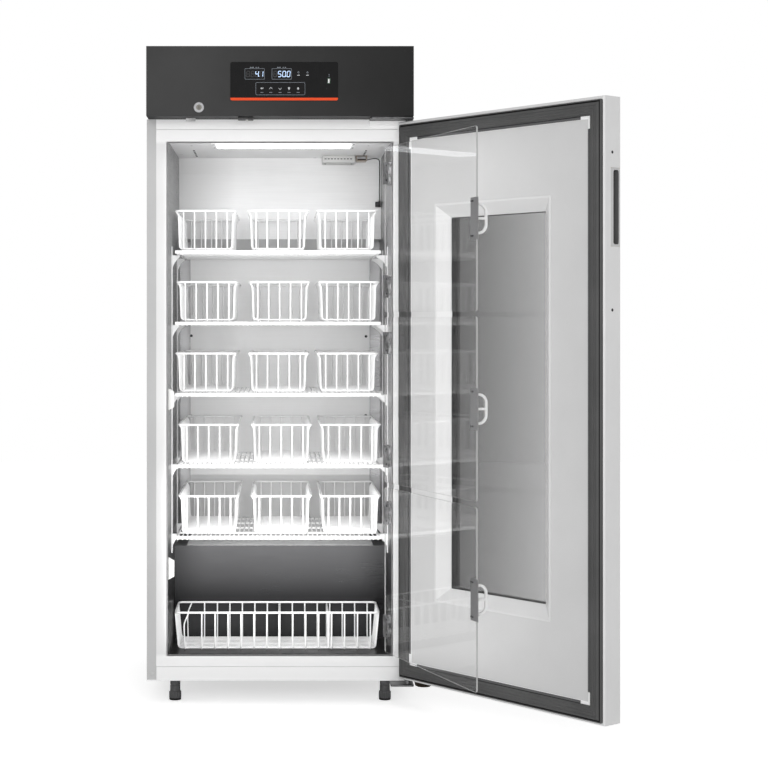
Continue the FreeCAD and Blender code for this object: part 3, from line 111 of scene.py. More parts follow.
def roundRectangle(x0, x1, z0, z1, radius, steps=5):
    loop = []
    for cx, cz, start in ((x1 - radius, z0 + radius, -90), (x1 - radius, z1 - radius, 0),
            (x0 + radius, z1 - radius, 90), (x0 + radius, z0 + radius, 180)):
        for n in range(steps + 1):
            a = math.radians(start + 90 * n / steps)
            loop.append((cx + radius * math.cos(a), cz + radius * math.sin(a)))
    return loop


def circle(x, z, radius, count=24):
    return [(x + radius * math.cos(math.tau * n / count), z + radius * math.sin(math.tau * n / count))
            for n in range(count)]


def plate(outline, y0, y1, holes=(), soft=0.4, segments=2):
    # an upright sheet across the cabinet, with real openings
    part = bmesh.new()
    for loop in [outline, *holes]:
        corners = [part.verts.new((x, y0, z)) for x, z in loop]
        for a, b in zip(corners, corners[1:] + corners[:1]):
            part.edges.new((a, b))
    bmesh.ops.triangle_fill(part, edges=part.edges[:], use_beauty=True, use_dissolve=False)
    grown = bmesh.ops.extrude_face_region(part, geom=part.faces[:])["geom"]
    bmesh.ops.translate(part, vec=(0, y1 - y0, 0), verts=[v for v in grown if isinstance(v, bmesh.types.BMVert)])
    bmesh.ops.recalc_face_normals(part, faces=part.faces[:])
    soften(part, soft, segments)
    return part


def pictureFrame(box, section, corner=0.0, steps=4):
    # a closed section of (inwards, y) points carried round an upright rectangle
    x0, x1, z0, z1 = box
    part = bmesh.new()
    corners, rings = [], []
    for n, (inwards, _) in enumerate(section):
        edge = (x0 + inwards, x1 - inwards, z0 + inwards, z1 - inwards)
        loop = roundRectangle(*edge, max(corner - inwards, 0.3), steps) if corner else rectangle(*edge)
        verts = [part.verts.new((x, n, z)) for x, z in loop]
        corners.append(verts)
        rings.append([part.edges.new((a, b)) for a, b in zip(verts, verts[1:] + verts[:1])])
    # the rings stand one apart while they are joined, so no joint is turned over
    for a, b in zip(rings, rings[1:] + rings[:1]):
        bmesh.ops.bridge_loops(part, edges=a + b)
    for n, (_, y) in enumerate(section):
        bmesh.ops.translate(part, verts=corners[n], vec=(0, y - n, 0))
    bmesh.ops.recalc_face_normals(part, faces=part.faces[:])
    return part


def turned(profile, steps=32):
    # a closed lathe shape round the local z axis from (radius, height) points
    part = bmesh.new()
    line = [part.verts.new((r, 0, h)) for r, h in profile]
    edges = [part.edges.new((a, b)) for a, b in zip(line, line[1:])]
    bmesh.ops.spin(part, geom=line + edges, cent=(0, 0, 0), axis=(0, 0, 1), angle=math.tau, steps=steps,
            use_merge=True, use_duplicate=False)
    bmesh.ops.remove_doubles(part, verts=part.verts, dist=0.0005)
    bmesh.ops.recalc_face_normals(part, faces=part.faces[:])
    return part


def facing(x, y, z, way):
    # puts a lathe shape at a point with its top looking along way
    look = Vector(way).to_track_quat("Z", "Y").to_matrix().to_4x4()
    return Matrix.Translation((x, y, z)) @ look


def screwHead(radius, height, socket=0.5):
    inner = radius * socket
    return turned([(0, 0), (radius, 0), (radius, height * 0.55), (radius * 0.86, height * 0.9),
            (inner * 1.15, height), (inner, height * 0.92), (inner * 0.9, height * 0.35), (0, height * 0.3)], 18)


def softCorners(points, radius, steps=3, closed=False):
    # a run of straight lines with its corners rounded
    points = [Vector(p) for p in points]
    count = len(points)
    result = []
    for n, here in enumerate(points):
        if not closed and n in (0, count - 1):
            result.append(here)
            continue
        before, after = points[n - 1], points[(n + 1) % count]
        a, b = (before - here), (after - here)
        reach = min(radius, a.length * 0.45, b.length * 0.45)
        start, end = here + a.normalized() * reach, here + b.normalized() * reach
        for k in range(steps + 1):
            t = k / steps
            result.append(start * (1 - t) ** 2 + here * 2 * t * (1 - t) + end * t * t)
    return result


def wires(runs, radius, detail=2, kind="POLY"):
    # round wires along (points, closed) runs; kind NURBS bends softly from point to point
    curve = bpy.data.curves.new("wire", "CURVE")
    curve.dimensions = "3D"
    curve.bevel_depth = radius
    curve.bevel_resolution = detail
    curve.use_fill_caps = True
    for points, closed in runs:
        spline = curve.splines.new(kind)
        spline.points.add(len(points) - 1)
        for spot, point in zip(spline.points, points):
            spot.co = (*point, 1)
        spline.use_cyclic_u = closed
        if kind == "NURBS":
            spline.order_u = 3
            spline.use_endpoint_u = True
    holder = bpy.data.objects.new("wire", curve)
    mesh = bpy.data.meshes.new_from_object(holder)
    part = bmesh.new()
    part.from_mesh(mesh)
    bpy.data.objects.remove(holder)
    bpy.data.curves.remove(curve)
    bpy.data.meshes.remove(mesh)
    bmesh.ops.remove_doubles(part, verts=part.verts, dist=0.001)
    bmesh.ops.recalc_face_normals(part, faces=part.faces[:])
    return part


def levelRing(x0, x1, y0, y1, z, corner, steps):
    # a closed run for wires, level and with round corners
    return softCorners([(x0, y0, z), (x1, y0, z), (x1, y1, z), (x0, y1, z)], corner, steps, closed=True), True


def softenedCopy(name, node, body, materials, soft, segments=2, angle=40, choose=None):
    # the CAD shape with its edges rounded over; choose gives a face's finish by its place
    bm = bmesh.new()
    bm.from_mesh(nodes[node].data)
    bmesh.ops.remove_doubles(bm, verts=bm.verts, dist=1e-6)
    bmesh.ops.dissolve_limit(bm, angle_limit=math.radians(0.5), verts=bm.verts[:], edges=bm.edges[:])
    for face in bm.faces:
        face.material_index = choose(face.calc_center_median()) if choose else 0
    soften(bm, soft * 0.001, segments, angle)
    return makePiece(name, bm, body, materials, [node], placed=True)


# shared shader groups

def newGroup(name, inputs, outputs):
    tree = bpy.data.node_groups.new(name, "ShaderNodeTree")
    for label, kind, value in inputs:
        socket = tree.interface.new_socket(name=label, in_out="INPUT", socket_type=kind)
        socket.default_value = value
    for label in outputs:
        tree.interface.new_socket(name=label, in_out="OUTPUT", socket_type="NodeSocketFloat")
    return tree, tree.nodes.new("NodeGroupInput"), tree.nodes.new("NodeGroupOutput")


def setInputs(node, **values):
    for label, value in values.items():
        node.inputs[label.replace("_", " ")].default_value = value
    return node


def rangeNode(tree, source, low, high, toLow=0.0, toHigh=1.0):
    node = setInputs(tree.nodes.new("ShaderNodeMapRange"), From_Min=low, From_Max=high, To_Min=toLow, To_Max=toHigh)
    tree.links.new(source, node.inputs["Value"])
    return node.outputs["Result"]


def mathNode(tree, operation, first, second):
    node = tree.nodes.new("ShaderNodeMath")
    node.operation = operation
    for n, value in enumerate((first, second)):
        if isinstance(value, (int, float)):
            node.inputs[n].default_value = value
        else:
            tree.links.new(value, node.inputs[n])
    return node.outputs[0]


def vectorNode(tree, operation, first, second):
    node = tree.nodes.new("ShaderNodeVectorMath")
    node.operation = operation
    tree.links.new(first, node.inputs[0])
    tree.links.new(second, node.inputs[1])
    return node.outputs


def objectPlace(tree):
    return tree.nodes.new("ShaderNodeTexCoord").outputs["Object"]


def facingUp(tree):
    shape = tree.nodes.new("ShaderNodeNewGeometry")
    parts = tree.nodes.new("ShaderNodeSeparateXYZ")
    tree.links.new(shape.outputs["Normal"], parts.inputs[0])
    return parts.outputs["Z"]


def noiseNode(tree, scale, detail):
    node = setInputs(tree.nodes.new("ShaderNodeTexNoise"), Detail=detail, Roughness=0.55)
    if isinstance(scale, float):
        node.inputs["Scale"].default_value = scale
    else:
        tree.links.new(scale, node.inputs["Scale"])
    return node.outputs["Fac"], node.inputs["Vector"]


def placedNoise(tree, scale, detail):
    noise, vector = noiseNode(tree, scale, detail)
    tree.links.new(objectPlace(tree), vector)
    return noise


def makeGrainGroup():
    # a fine grain for bump, and a broad one for colour and gloss; Stretch makes brushed lines
    tree, start, end = newGroup("fineGrain", [("Scale", "NodeSocketFloat", 900.0),
            ("Broad Scale", "NodeSocketFloat", 6.0), ("Stretch", "NodeSocketVector", (1.0, 1.0, 1.0))],
            ["Height", "Tone", "Broad Tone"])
    fine, vector = noiseNode(tree, start.outputs["Scale"], 2.0)
    tree.links.new(vectorNode(tree, "MULTIPLY", objectPlace(tree), start.outputs["Stretch"])["Vector"], vector)
    broad = placedNoise(tree, start.outputs["Broad Scale"], 4.0)
    tree.links.new(fine, end.inputs["Height"])
    tree.links.new(rangeNode(tree, fine, 0.35, 0.65), end.inputs["Tone"])
    tree.links.new(rangeNode(tree, broad, 0.35, 0.65), end.inputs["Broad Tone"])
    return tree


def makeWearGroup():
    # rubbed edges: pointed places broken up by noise
    tree, start, end = newGroup("rubbedEdges", [("Reach", "NodeSocketFloat", 0.06),
            ("Break Up", "NodeSocketFloat", 60.0)], ["Mask"])
    shape = tree.nodes.new("ShaderNodeNewGeometry")
    above = mathNode(tree, "SUBTRACT", shape.outputs["Pointiness"], 0.5)
    share = mathNode(tree, "DIVIDE", above, start.outputs["Reach"])
    patchy = rangeNode(tree, placedNoise(tree, start.outputs["Break Up"], 5.0), 0.4, 0.62)
    worn = mathNode(tree, "MULTIPLY", share, patchy)
    tree.links.new(rangeNode(tree, worn, 0.0, 1.0), end.inputs["Mask"])
    return tree


def makeDustGroup():
    # dust that settles on faces looking up
    tree, start, end = newGroup("settledDust", [("Amount", "NodeSocketFloat", 0.3)], ["Mask"])
    up = rangeNode(tree, facingUp(tree), 0.6, 1.0)
    cloud = rangeNode(tree, placedNoise(tree, 14.0, 6.0), 0.3, 0.75)
    dust = mathNode(tree, "MULTIPLY", mathNode(tree, "MULTIPLY", up, cloud), start.outputs["Amount"])
    tree.links.new(dust, end.inputs["Mask"])
    return tree


def makeSlopeGroup():
    # 0 to 1 between two places along a direction of the object, in metres
    tree, start, end = newGroup("slopeAlong", [("Direction", "NodeSocketVector", (0.0, 0.0, 1.0)),
            ("Low", "NodeSocketFloat", 0.0), ("High", "NodeSocketFloat", 1.0)], ["Share"])
    along = vectorNode(tree, "DOT_PRODUCT", objectPlace(tree), start.outputs["Direction"])["Value"]
    share = tree.nodes.new("ShaderNodeMapRange")
    tree.links.new(along, share.inputs["Value"])
    tree.links.new(start.outputs["Low"], share.inputs["From Min"])
    tree.links.new(start.outputs["High"], share.inputs["From Max"])
    tree.links.new(share.outputs["Result"], end.inputs["Share"])
    return tree


def makeDownGroup():
    # faces that look down
    tree, _, end = newGroup("facesDown", [], ["Mask"])
    tree.links.new(rangeNode(tree, facingUp(tree), -0.5, -0.9), end.inputs["Mask"])
    return tree


grainGroup = makeGrainGroup()
wearGroup = makeWearGroup()
dustGroup = makeDustGroup()
slopeGroup = makeSlopeGroup()
downGroup = makeDownGroup()
axes = {"X": (1.0, 0.0, 0.0), "Y": (0.0, 1.0, 0.0), "Z": (0.0, 0.0, 1.0)}


def groupNode(tree, group, **values):
    node = tree.nodes.new("ShaderNodeGroup")
    node.node_tree = group
    return setInputs(node, **values)


def mixColors(tree, factor, first, second):
    node = tree.nodes.new("ShaderNodeMix")
    node.data_type = "RGBA"
    tree.links.new(factor, node.inputs["Factor"])
    for label, value in (("A", first), ("B", second)):
        socket = [s for s in node.inputs if s.name == label and s.type == "RGBA"][0]
        if isinstance(value, tuple):
            socket.default_value = (*value, 1)
        else:
            tree.links.new(value, socket)
    return [s for s in node.outputs if s.type == "RGBA"][0]


def paintLightAndShade(tree, color, axis, low, high, tone):
    # paints light or shade: goes over to another tone between two places along an axis, in metres
    share = groupNode(tree, slopeGroup, Direction=axes[axis], Low=low, High=high).outputs["Share"]
    return mixColors(tree, share, color, shade(tone))


def gray(level):
    # the linear value of a screen grey from 0 to 255
    s = level / 255
    return s / 12.92 if s <= 0.04045 else ((s + 0.055) / 1.055) ** 2.4


def shade(tone):
    # a screen grey, or a colour of three whole screen values; a colour in floats is linear already
    if isinstance(tone, int):
        return (gray(tone),) * 3
    return tone if isinstance(tone[0], float) else tuple(gray(level) for level in tone)


def newMaterial(name):
    material = bpy.data.materials.new(name)
    material.use_nodes = True
    return material, material.node_tree, material.node_tree.nodes["Principled BSDF"]


dustColor = (0.55, 0.54, 0.52)


def finish(name, tones, roughness, metallic=0.0, fineShare=0.3, grain=900.0, broad=6.0,
        stretch=(1.0, 1.0, 1.0), bump=0.1, depth=0.0002, **look):
    # the general opaque finish: two tones, gloss that varies, grain, and where asked painted light and shade (fades
    # along an axis, and an underside tone with its own metallic), wear (reach, tone), dust, coat, specular and glow
    material, tree, shader = newMaterial(name)
    setInputs(shader, Metallic=metallic, Coat_Weight=look.get("coat", 0.0), Coat_Roughness=0.1,
            Specular_IOR_Level=look.get("specular", 0.5))
    grains = groupNode(tree, grainGroup, Scale=grain, Broad_Scale=broad, Stretch=stretch).outputs
    mixed = mathNode(tree, "ADD", mathNode(tree, "MULTIPLY", grains["Tone"], fineShare),
            mathNode(tree, "MULTIPLY", grains["Broad Tone"], 1 - fineShare))
    color = base = mixColors(tree, mixed, shade(tones[0]), shade(tones[1]))
    # painted light and shade along axes
    for fade in look.get("fades", ()):
        color = paintLightAndShade(tree, color, *fade)
    # painted light or shade on faces looking down, with a metallic of their own
    if "under" in look:
        tone, sheen = look["under"]
        down = groupNode(tree, downGroup).outputs["Mask"]
        color = mixColors(tree, down, color, shade(tone))
        tree.links.new(rangeNode(tree, down, 0.0, 1.0, metallic, sheen), shader.inputs["Metallic"])
    if "wear" in look:
        reach, tone = look["wear"]
        color = mixColors(tree, groupNode(tree, wearGroup, Reach=reach).outputs["Mask"], color, shade(tone))
    if "dust" in look:
        color = mixColors(tree, groupNode(tree, dustGroup, Amount=look["dust"]).outputs["Mask"], color, dustColor)
    tree.links.new(color, shader.inputs["Base Color"])
    tree.links.new(rangeNode(tree, mixed, 0.0, 1.0, *roughness), shader.inputs["Roughness"])
    relief = setInputs(tree.nodes.new("ShaderNodeBump"), Strength=bump, Distance=depth)
    tree.links.new(grains["Height"], relief.inputs["Height"])
    tree.links.new(relief.outputs["Normal"], shader.inputs["Normal"])
    if "glow" in look:
        setInputs(shader, Emission_Strength=look["glow"])
        tree.links.new(base, shader.inputs["Emission Color"])
    return material


def clearFinish(name, look):
    # glass and acrylic: light passes straight on to what stands behind
    material, tree, shader = newMaterial(name)
    setInputs(shader, Transmission_Weight=1.0, IOR=look["ior"])
    # where asked, painted reflection or shade: the tint fades along an axis
    if "fade" in look:
        body = paintLightAndShade(tree, look["color"], *look["fade"])
    else:
        grain = groupNode(tree, grainGroup, Scale=40.0, Broad_Scale=4.0)
        body = mixColors(tree, grain.outputs["Broad Tone"], look["color"], look["second"])
    tree.links.new(body, shader.inputs["Base Color"])
    smear = groupNode(tree, grainGroup, Scale=160.0, Broad_Scale=9.0, Stretch=(1.0, 1.0, 0.2))
    gloss = rangeNode(tree, smear.outputs["Broad Tone"], 0.0, 1.0, *look["roughness"])
    tree.links.new(gloss, shader.inputs["Roughness"])
    path = tree.nodes.new("ShaderNodeLightPath")
    clear = setInputs(tree.nodes.new("ShaderNodeBsdfTransparent"), Color=(*look["shadow"], 1))
    mix = tree.nodes.new("ShaderNodeMixShader")
    tree.links.new(path.outputs["Is Shadow Ray"], mix.inputs["Fac"])
    tree.links.new(shader.outputs["BSDF"], mix.inputs[1])
    tree.links.new(clear.outputs["BSDF"], mix.inputs[2])
    tree.links.new(mix.outputs["Shader"], tree.nodes["Material Output"].inputs["Surface"])
    return material


# finishes

brushLevel = (0.02, 0.02, 1.0)
brushAcross = (0.02, 1.0, 1.0)

casePaint = finish("casePaint", (196, 191), (0.38, 0.5), grain=1400.0, bump=0.12, depth=0.00015, dust=0.15)
# painted light: lighter above 1.37 m, where the housing overhang shades the frame top, and below 0.112 m along the
# bottom of the front
frameWhite = finish("frameWhite", (234, 229), (0.3, 0.42), grain=700.0, bump=0.05,
        fades=[("Z", 1.362, 1.37, 254), ("Z", 0.12, 0.112, 247)])
# painted shade and reflection: tones set by place along the depth and height, darkest from 0.5 m down into the
# floor well; faces looking down (the ceiling) are painted near white as painted light
linerSteel = finish("linerSteel", ((176, 176, 177), (160, 160, 161)), (0.26, 0.4), metallic=0.9,
        grain=500.0, stretch=brushLevel, bump=0.06, fineShare=0.6, under=(248, 0.0),
        fades=[("Y", -0.127, -0.123, (96, 96, 97)), ("Y", 0.073, 0.077, (168, 168, 169)),
        ("Z", 1.1, 1.2, (134, 134, 135)), ("Z", 0.5, 0.345, (70, 70, 71)),
        ("Z", 0.345, 0.215, (37, 37, 38)), ("Z", 0.2, 0.15, (57, 57, 58))])
# painted shade: darker towards its left end
coverSteel = finish("coverSteel", (246, 240), (0.4, 0.52), metallic=0.1, grain=420.0, stretch=brushAcross,
        bump=0.04, fineShare=0.5, fades=[("X", -0.12, -0.275, 220)])
# painted shade below 0.513 m and over the top of the panel above 1.1 m under the evaporator cover; painted light on
# the foot plate below 0.35 m
ductSteel = finish("ductSteel", (252, 248), (0.4, 0.52), metallic=0.0, grain=420.0, stretch=brushAcross,
        bump=0.04, fineShare=0.5, fades=[("Z", 0.517, 0.513, 212), ("Z", 0.352, 0.35, 252),
        ("Z", 1.10, 1.125, 186)])
shelfWhite = finish("shelfWhite", (248, 241), (0.26, 0.4), grain=500.0, broad=20.0, bump=0.1, coat=0.25)
basketWhite = finish("basketWhite", (250, 244), (0.24, 0.38), grain=600.0, broad=25.0, bump=0.1, coat=0.3)
diffuserGlow = finish("diffuserGlow", ((1.0, 1.0, 1.0), (0.93, 0.96, 1.0)), (0.4, 0.5), broad=30.0,
        glow=3.5)
blackPlastic = finish("blackPlastic", ((26, 26, 27), (36, 36, 37)), (0.42, 0.6), grain=1600.0, bump=0.25,
        wear=(0.08, 70))
catchWhite = finish("catchWhite", ((222, 222, 220), (214, 214, 212)), (0.35, 0.48), grain=800.0, bump=0.08)
hingeSteel = finish("hingeSteel", ((104, 104, 105), (82, 82, 84)), (0.34, 0.5), metallic=0.8, grain=700.0,
        stretch=brushAcross, bump=0.08, fineShare=0.6, wear=(0.1, (150, 150, 151)))
leafSteel = finish("leafSteel", ((94, 94, 95), (76, 76, 77)), (0.3, 0.45), metallic=0.8, grain=900.0,
        bump=0.08, wear=(0.08, (160, 160, 161)))
darkSteel = finish("darkSteel", ((58, 58, 60), (44, 44, 46)), (0.3, 0.45), metallic=0.9, grain=900.0,
        bump=0.08, wear=(0.08, (120, 120, 122)))
# painted reflection and shade: darker towards its right end; its underside is painted near black as painted shade
housingGrey = finish("housingGrey", (64, 60), (0.42, 0.52), grain=1500.0, bump=0.14, depth=0.00015,
        dust=0.1, specular=0.15, under=(20, 0.0), fades=[("X", -0.25, 0.32, 26)])
panelBlack = finish("panelBlack", ((7, 7, 8), (5, 5, 6)), (0.24, 0.32), grain=60.0, bump=0.01,
        specular=0.08)
windowBlack = finish("windowBlack", ((6, 7, 9), (8, 9, 12)), (0.2, 0.28), grain=80.0, bump=0.01,
        specular=0.08)
printGrey = finish("printGrey", ((206, 208, 210), (196, 198, 200)), (0.5, 0.6), grain=2000.0, bump=0.05)
printDim = finish("printDim", ((134, 140, 148), (124, 130, 138)), (0.5, 0.6), grain=2000.0, bump=0.05)
digitGlow = finish("digitGlow", ((205, 228, 255), (180, 210, 250)), (0.4, 0.5), broad=300.0, glow=0.9)
digitDim = finish("digitDim", ((34, 36, 38), (38, 39, 40)), (0.4, 0.5), broad=300.0)
orangeGlow = finish("orangeGlow", ((234, 72, 16), (238, 78, 22)), (0.4, 0.5), broad=12.0, specular=0.2)
boardGreen = finish("boardGreen", ((28, 84, 48), (20, 66, 38)), (0.3, 0.5), grain=300.0, bump=0.2)
lockChrome = finish("lockChrome", ((150, 150, 151), (116, 116, 118)), (0.34, 0.5), metallic=0.8,
        grain=300.0, bump=0.05)
plugBrass = finish("plugBrass", ((112, 110, 104), (90, 88, 84)), (0.34, 0.5), metallic=0.8, grain=500.0,
        bump=0.05)
boltWhite = finish("boltWhite", (236, 224), (0.3, 0.42), grain=700.0, bump=0.06,
        wear=(0.08, (160, 160, 162)))
footBlack = finish("footBlack", ((76, 76, 77), (62, 62, 63)), (0.4, 0.58), grain=900.0, bump=0.2,
        dust=0.35, wear=(0.1, (104, 104, 106)))
compressorBlack = finish("compressorBlack", ((24, 24, 25), (34, 34, 35)), (0.3, 0.5), grain=500.0,
        bump=0.2, dust=0.6)
coilMetal = finish("coilMetal", ((190, 176, 160), (160, 146, 132)), (0.3, 0.45), metallic=0.9, grain=600.0,
        bump=0.1, dust=0.4)
fanBlack = finish("fanBlack", ((28, 28, 30), (38, 38, 40)), (0.4, 0.55), grain=900.0, bump=0.1, dust=0.4)
motorSteel = finish("motorSteel", ((140, 141, 144), (120, 121, 124)), (0.3, 0.5), metallic=0.9,
        grain=700.0, bump=0.1, dust=0.4)
doorPaint = finish("doorPaint", (226, 220), (0.34, 0.44), grain=1400.0, bump=0.12, depth=0.00015, dust=0.1)
doorLinerWhite = finish("doorLinerWhite", (208, 203), (0.4, 0.5), grain=500.0, bump=0.05)
rimWhite = finish("rimWhite", (250, 246), (0.3, 0.4), grain=500.0, bump=0.05)
gasketGrey = finish("gasketGrey", (88, 76), (0.5, 0.62), grain=900.0, bump=0.15, specular=0.25)
blackRubberAndShade = finish("blackRubberAndShade", ((22, 22, 23), (30, 30, 31)), (0.5, 0.65), grain=900.0, bump=0.15,
        specular=0.3)
stripGrey = finish("stripGrey", ((92, 92, 93), (80, 80, 81)), (0.4, 0.52), grain=900.0, bump=0.1)
bezelGrey = finish("bezelGrey", (222, 216), (0.34, 0.46), grain=600.0, bump=0.06)
spacerDark = finish("spacerDark", ((66, 66, 67), (54, 54, 55)), (0.4, 0.55), metallic=0.4, grain=800.0,
        bump=0.1)
slotShadeGrey = finish("slotShadeGrey", (104, 94), (0.4, 0.55), grain=900.0, bump=0.1)
gripGrey = finish("gripGrey", (200, 192), (0.4, 0.52), grain=1100.0, bump=0.12)
capBrown = finish("capBrown", ((40, 32, 22), (30, 24, 17)), (0.45, 0.58), grain=900.0, bump=0.12,
        specular=0.1, wear=(0.1, (58, 50, 44)))
fittingWhite = finish("fittingWhite", (240, 230), (0.28, 0.4), grain=900.0, bump=0.06, coat=0.2)
plateGrey = finish("plateGrey", ((150, 150, 151), (136, 136, 137)), (0.3, 0.42), grain=700.0, metallic=0.3,
        bump=0.08)
foamCream = finish("foamCream", ((222, 208, 168), (206, 190, 150)), (0.8, 0.95), grain=260.0, bump=0.5,
        depth=0.0008)
clipAmber = finish("clipAmber", ((176, 164, 150), (150, 134, 118)), (0.25, 0.4), grain=500.0, bump=0.05)
# painted reflection: the glass tint lightens from left to right
windowGlass = clearFinish("windowGlass", {"color": (0.36, 0.36, 0.36), "ior": 1.45, "roughness": (0.0, 0.01),
        "fade": ("X", 0.42, 0.62, (0.66, 0.66, 0.66)), "shadow": (0.7, 0.7, 0.7)})
acrylicClear = clearFinish("acrylicClear", {"color": (0.965, 0.965, 0.965), "second": (0.95, 0.95, 0.95),
        "ior": 1.12, "roughness": (0.0, 0.012), "shadow": (0.93, 0.93, 0.93)})
acrylicEdge = finish("acrylicEdge", (184, 172), (0.2, 0.35), grain=400.0, bump=0.05, coat=0.4)

cadFinishes = {
    "outer_case": casePaint, "back_panel": casePaint, "rear_grille": casePaint, "power_inlet": blackPlastic,
        "foam_insulation": foamCream, "door_foam": foamCream, "inner_liner": linerSteel,
        "evaporator_cover": coverSteel, "duct_panel": ductSteel, "refrigerant_coils": coilMetal,
        "fan_motors": motorSteel, "evaporator_fan": fanBlack, "condenser_fan": fanBlack,
        "compressor": compressorBlack, "display_board": boardGreen, "door_skin": doorPaint,
        "door_liner": doorLinerWhite}
for nodeName, material in cadFinishes.items():
    for holder in nodes[nodeName].material_slots:
        holder.material = material
print("finishes made, CAD nodes dressed")


# camera and light

view = {"location": (0.0, -4.504, 0.9247), "lens": 80.8, "shiftX": 0.1354, "shiftY": -0.0785}
camera = bpy.data.cameras.new("photoCamera")
camera.lens = view["lens"]
camera.sensor_width = 36.0
camera.shift_x = view["shiftX"]
camera.shift_y = view["shiftY"]
cameraHolder = bpy.data.objects.new("photoCamera", camera)
cameraHolder.location = view["location"]
cameraHolder.rotation_euler = (math.radians(90), 0, 0)
bpy.context.scene.collection.objects.link(cameraHolder)
bpy.context.scene.camera = cameraHolder
bpy.context.scene.view_settings.view_transform = "Standard"

light = {
    "world": 0.56,
        "lamps": [
        {"name": "softFront", "at": (-0.2, -4.8, 1.2), "aim": (0.1, 0.0, 0.8), "size": 3.0, "watts": 84.0},
        {"name": "softLeft", "at": (-3.2, -2.8, 1.5), "aim": (0.3, -0.3, 0.8), "size": 2.2, "watts": 4.0},
        {"name": "softTop", "at": (0.3, -1.2, 4.4), "aim": (0.2, -0.2, 0.9), "size": 2.6, "watts": 4.0},
        # a low fill across the mouth of the chamber, facing in
        {"name": "chamberFill", "at": (-0.01, -0.315, 0.74), "aim": (-0.01, 0.3, 0.74), "size": 0.52,
        "height": 1.2, "watts": 1.8},
        {"name": "wellFill", "at": (-0.01, -0.315, 0.36), "aim": (-0.01, 0.3, 0.38), "size": 0.52,
        "height": 0.4, "watts": 0.9},
        ],
        "floorGlow": 0.56,
        }


def aimed(spot, target):
    return (Vector(target) - Vector(spot)).to_track_quat("-Z", "Y").to_euler()


for lamp in light["lamps"]:
    data = bpy.data.lights.new(lamp["name"], "AREA")
    data.size = lamp["size"]
    if "height" in lamp:
        data.shape = "RECTANGLE"
        data.size_y = lamp["height"]
    data.energy = lamp["watts"]
    holder = bpy.data.objects.new(lamp["name"], data)
    holder.location = lamp["at"]
    holder.rotation_euler = aimed(lamp["at"], lamp["aim"])
    bpy.context.scene.collection.objects.link(holder)


def seenDirectly(tree):
    # 1 for camera and transmission rays
    path = tree.nodes.new("ShaderNodeLightPath")
    return mathNode(tree, "MAXIMUM", path.outputs["Is Camera Ray"], path.outputs["Is Transmission Ray"])


white = (1.0, 1.0, 1.0, 1)
world = bpy.data.worlds.new("studio")
world.use_nodes = True
bpy.context.scene.world = world
worldTree = world.node_tree
softSky = setInputs(worldTree.nodes["Background"], Color=white, Strength=light["world"])
whiteSky = setInputs(worldTree.nodes.new("ShaderNodeBackground"), Color=white, Strength=1.0)
skyMix = worldTree.nodes.new("ShaderNodeMixShader")
worldTree.links.new(seenDirectly(worldTree), skyMix.inputs["Fac"])
worldTree.links.new(softSky.outputs["Background"], skyMix.inputs[1])
worldTree.links.new(whiteSky.outputs["Background"], skyMix.inputs[2])
worldTree.links.new(skyMix.outputs["Shader"], worldTree.nodes["World Output"].inputs["Surface"])

floorPaint, floorTree, floorShader = newMaterial("floorPaint")
setInputs(floorShader, Base_Color=(0.86, 0.86, 0.86, 1), Roughness=0.9, Specular_IOR_Level=0.1,
        Emission_Color=white)
floorGlow = mathNode(floorTree, "MULTIPLY", seenDirectly(floorTree), light["floorGlow"])
floorTree.links.new(floorGlow, floorShader.inputs["Emission Strength"])
floorMesh = bmesh.new()
bmesh.ops.create_grid(floorMesh, x_segments=4, y_segments=4, size=7.0)
floorData = bpy.data.meshes.new("studioFloor")
floorMesh.to_mesh(floorData)
floorMesh.free()
floorData.materials.append(floorPaint)
floor = bpy.data.objects.new("studioFloor", floorData)
bpy.context.scene.collection.objects.link(floor)
print("camera, floor and light set")


# front frame and case trim

frontFrame = {"outer": (-302.0, 302.0, 88.8, 1398.0), "inner": (-274.0, 274.0, 117.0, 1366.0), "depth": 8.0,
        "bottom": 54.0, "top": 1423.0, "seam": 0.6, "round": 1.4,
        "lip": 2.8, "lipSection": ((0.0, 0.2), (0.0, -0.0), (2.2, -0.0), (2.8, 0.5), (2.8, 7.9), (0.0, 7.9)),
        "capX": 311.5, "capZ": 70.3, "capRadius": 5.6}


def makeFrontFrame(look):
    bm = bmesh.new()
    x0, x1, z0, z1 = look["outer"]
    ix0, ix1, iz0, iz1 = look["inner"]
    outer, inner = rectangle(x0, x1, z0, z1), rectangle(ix0, ix1, iz0, iz1)
    for n in range(4):
        bar = [outer[n], outer[(n + 1) % 4], inner[(n + 1) % 4], inner[n]]
        addPart(bm, plate(bar, 0.0, look["depth"], soft=0.25))
    addPart(bm, plate(rectangle(x0, x1, look["bottom"], z0 - look["seam"]), 0.0, look["depth"], soft=look["round"]))
    addPart(bm, plate(rectangle(x0, x1, z1 + look["seam"], look["top"]), 0.0, look["depth"], soft=0.4))
    # the moulded lip that stands round the opening
    lip = look["lip"]
    addPart(bm, pictureFrame((ix0 - lip, ix1 + lip, iz0 - lip, iz1 + lip), look["lipSection"]))
    makePiece("frontFrame", bm, "cabinet", [frameWhite], ["front_frame"])
    caps = bmesh.new()
    r = look["capRadius"]
    for side in (-1, 1):
        cap = turned([(0, 1.3), (r * 0.6, 1.2), (r * 0.93, 0.7), (r, 0.0), (0, 0.0)], 28)
        addPart(caps, cap, matrix=facing(side * look["capX"], 0.0, look["capZ"], (0, -1, 0)))
    makePiece("caseScrewCaps", caps, "cabinet", [casePaint])


makeFrontFrame(frontFrame)

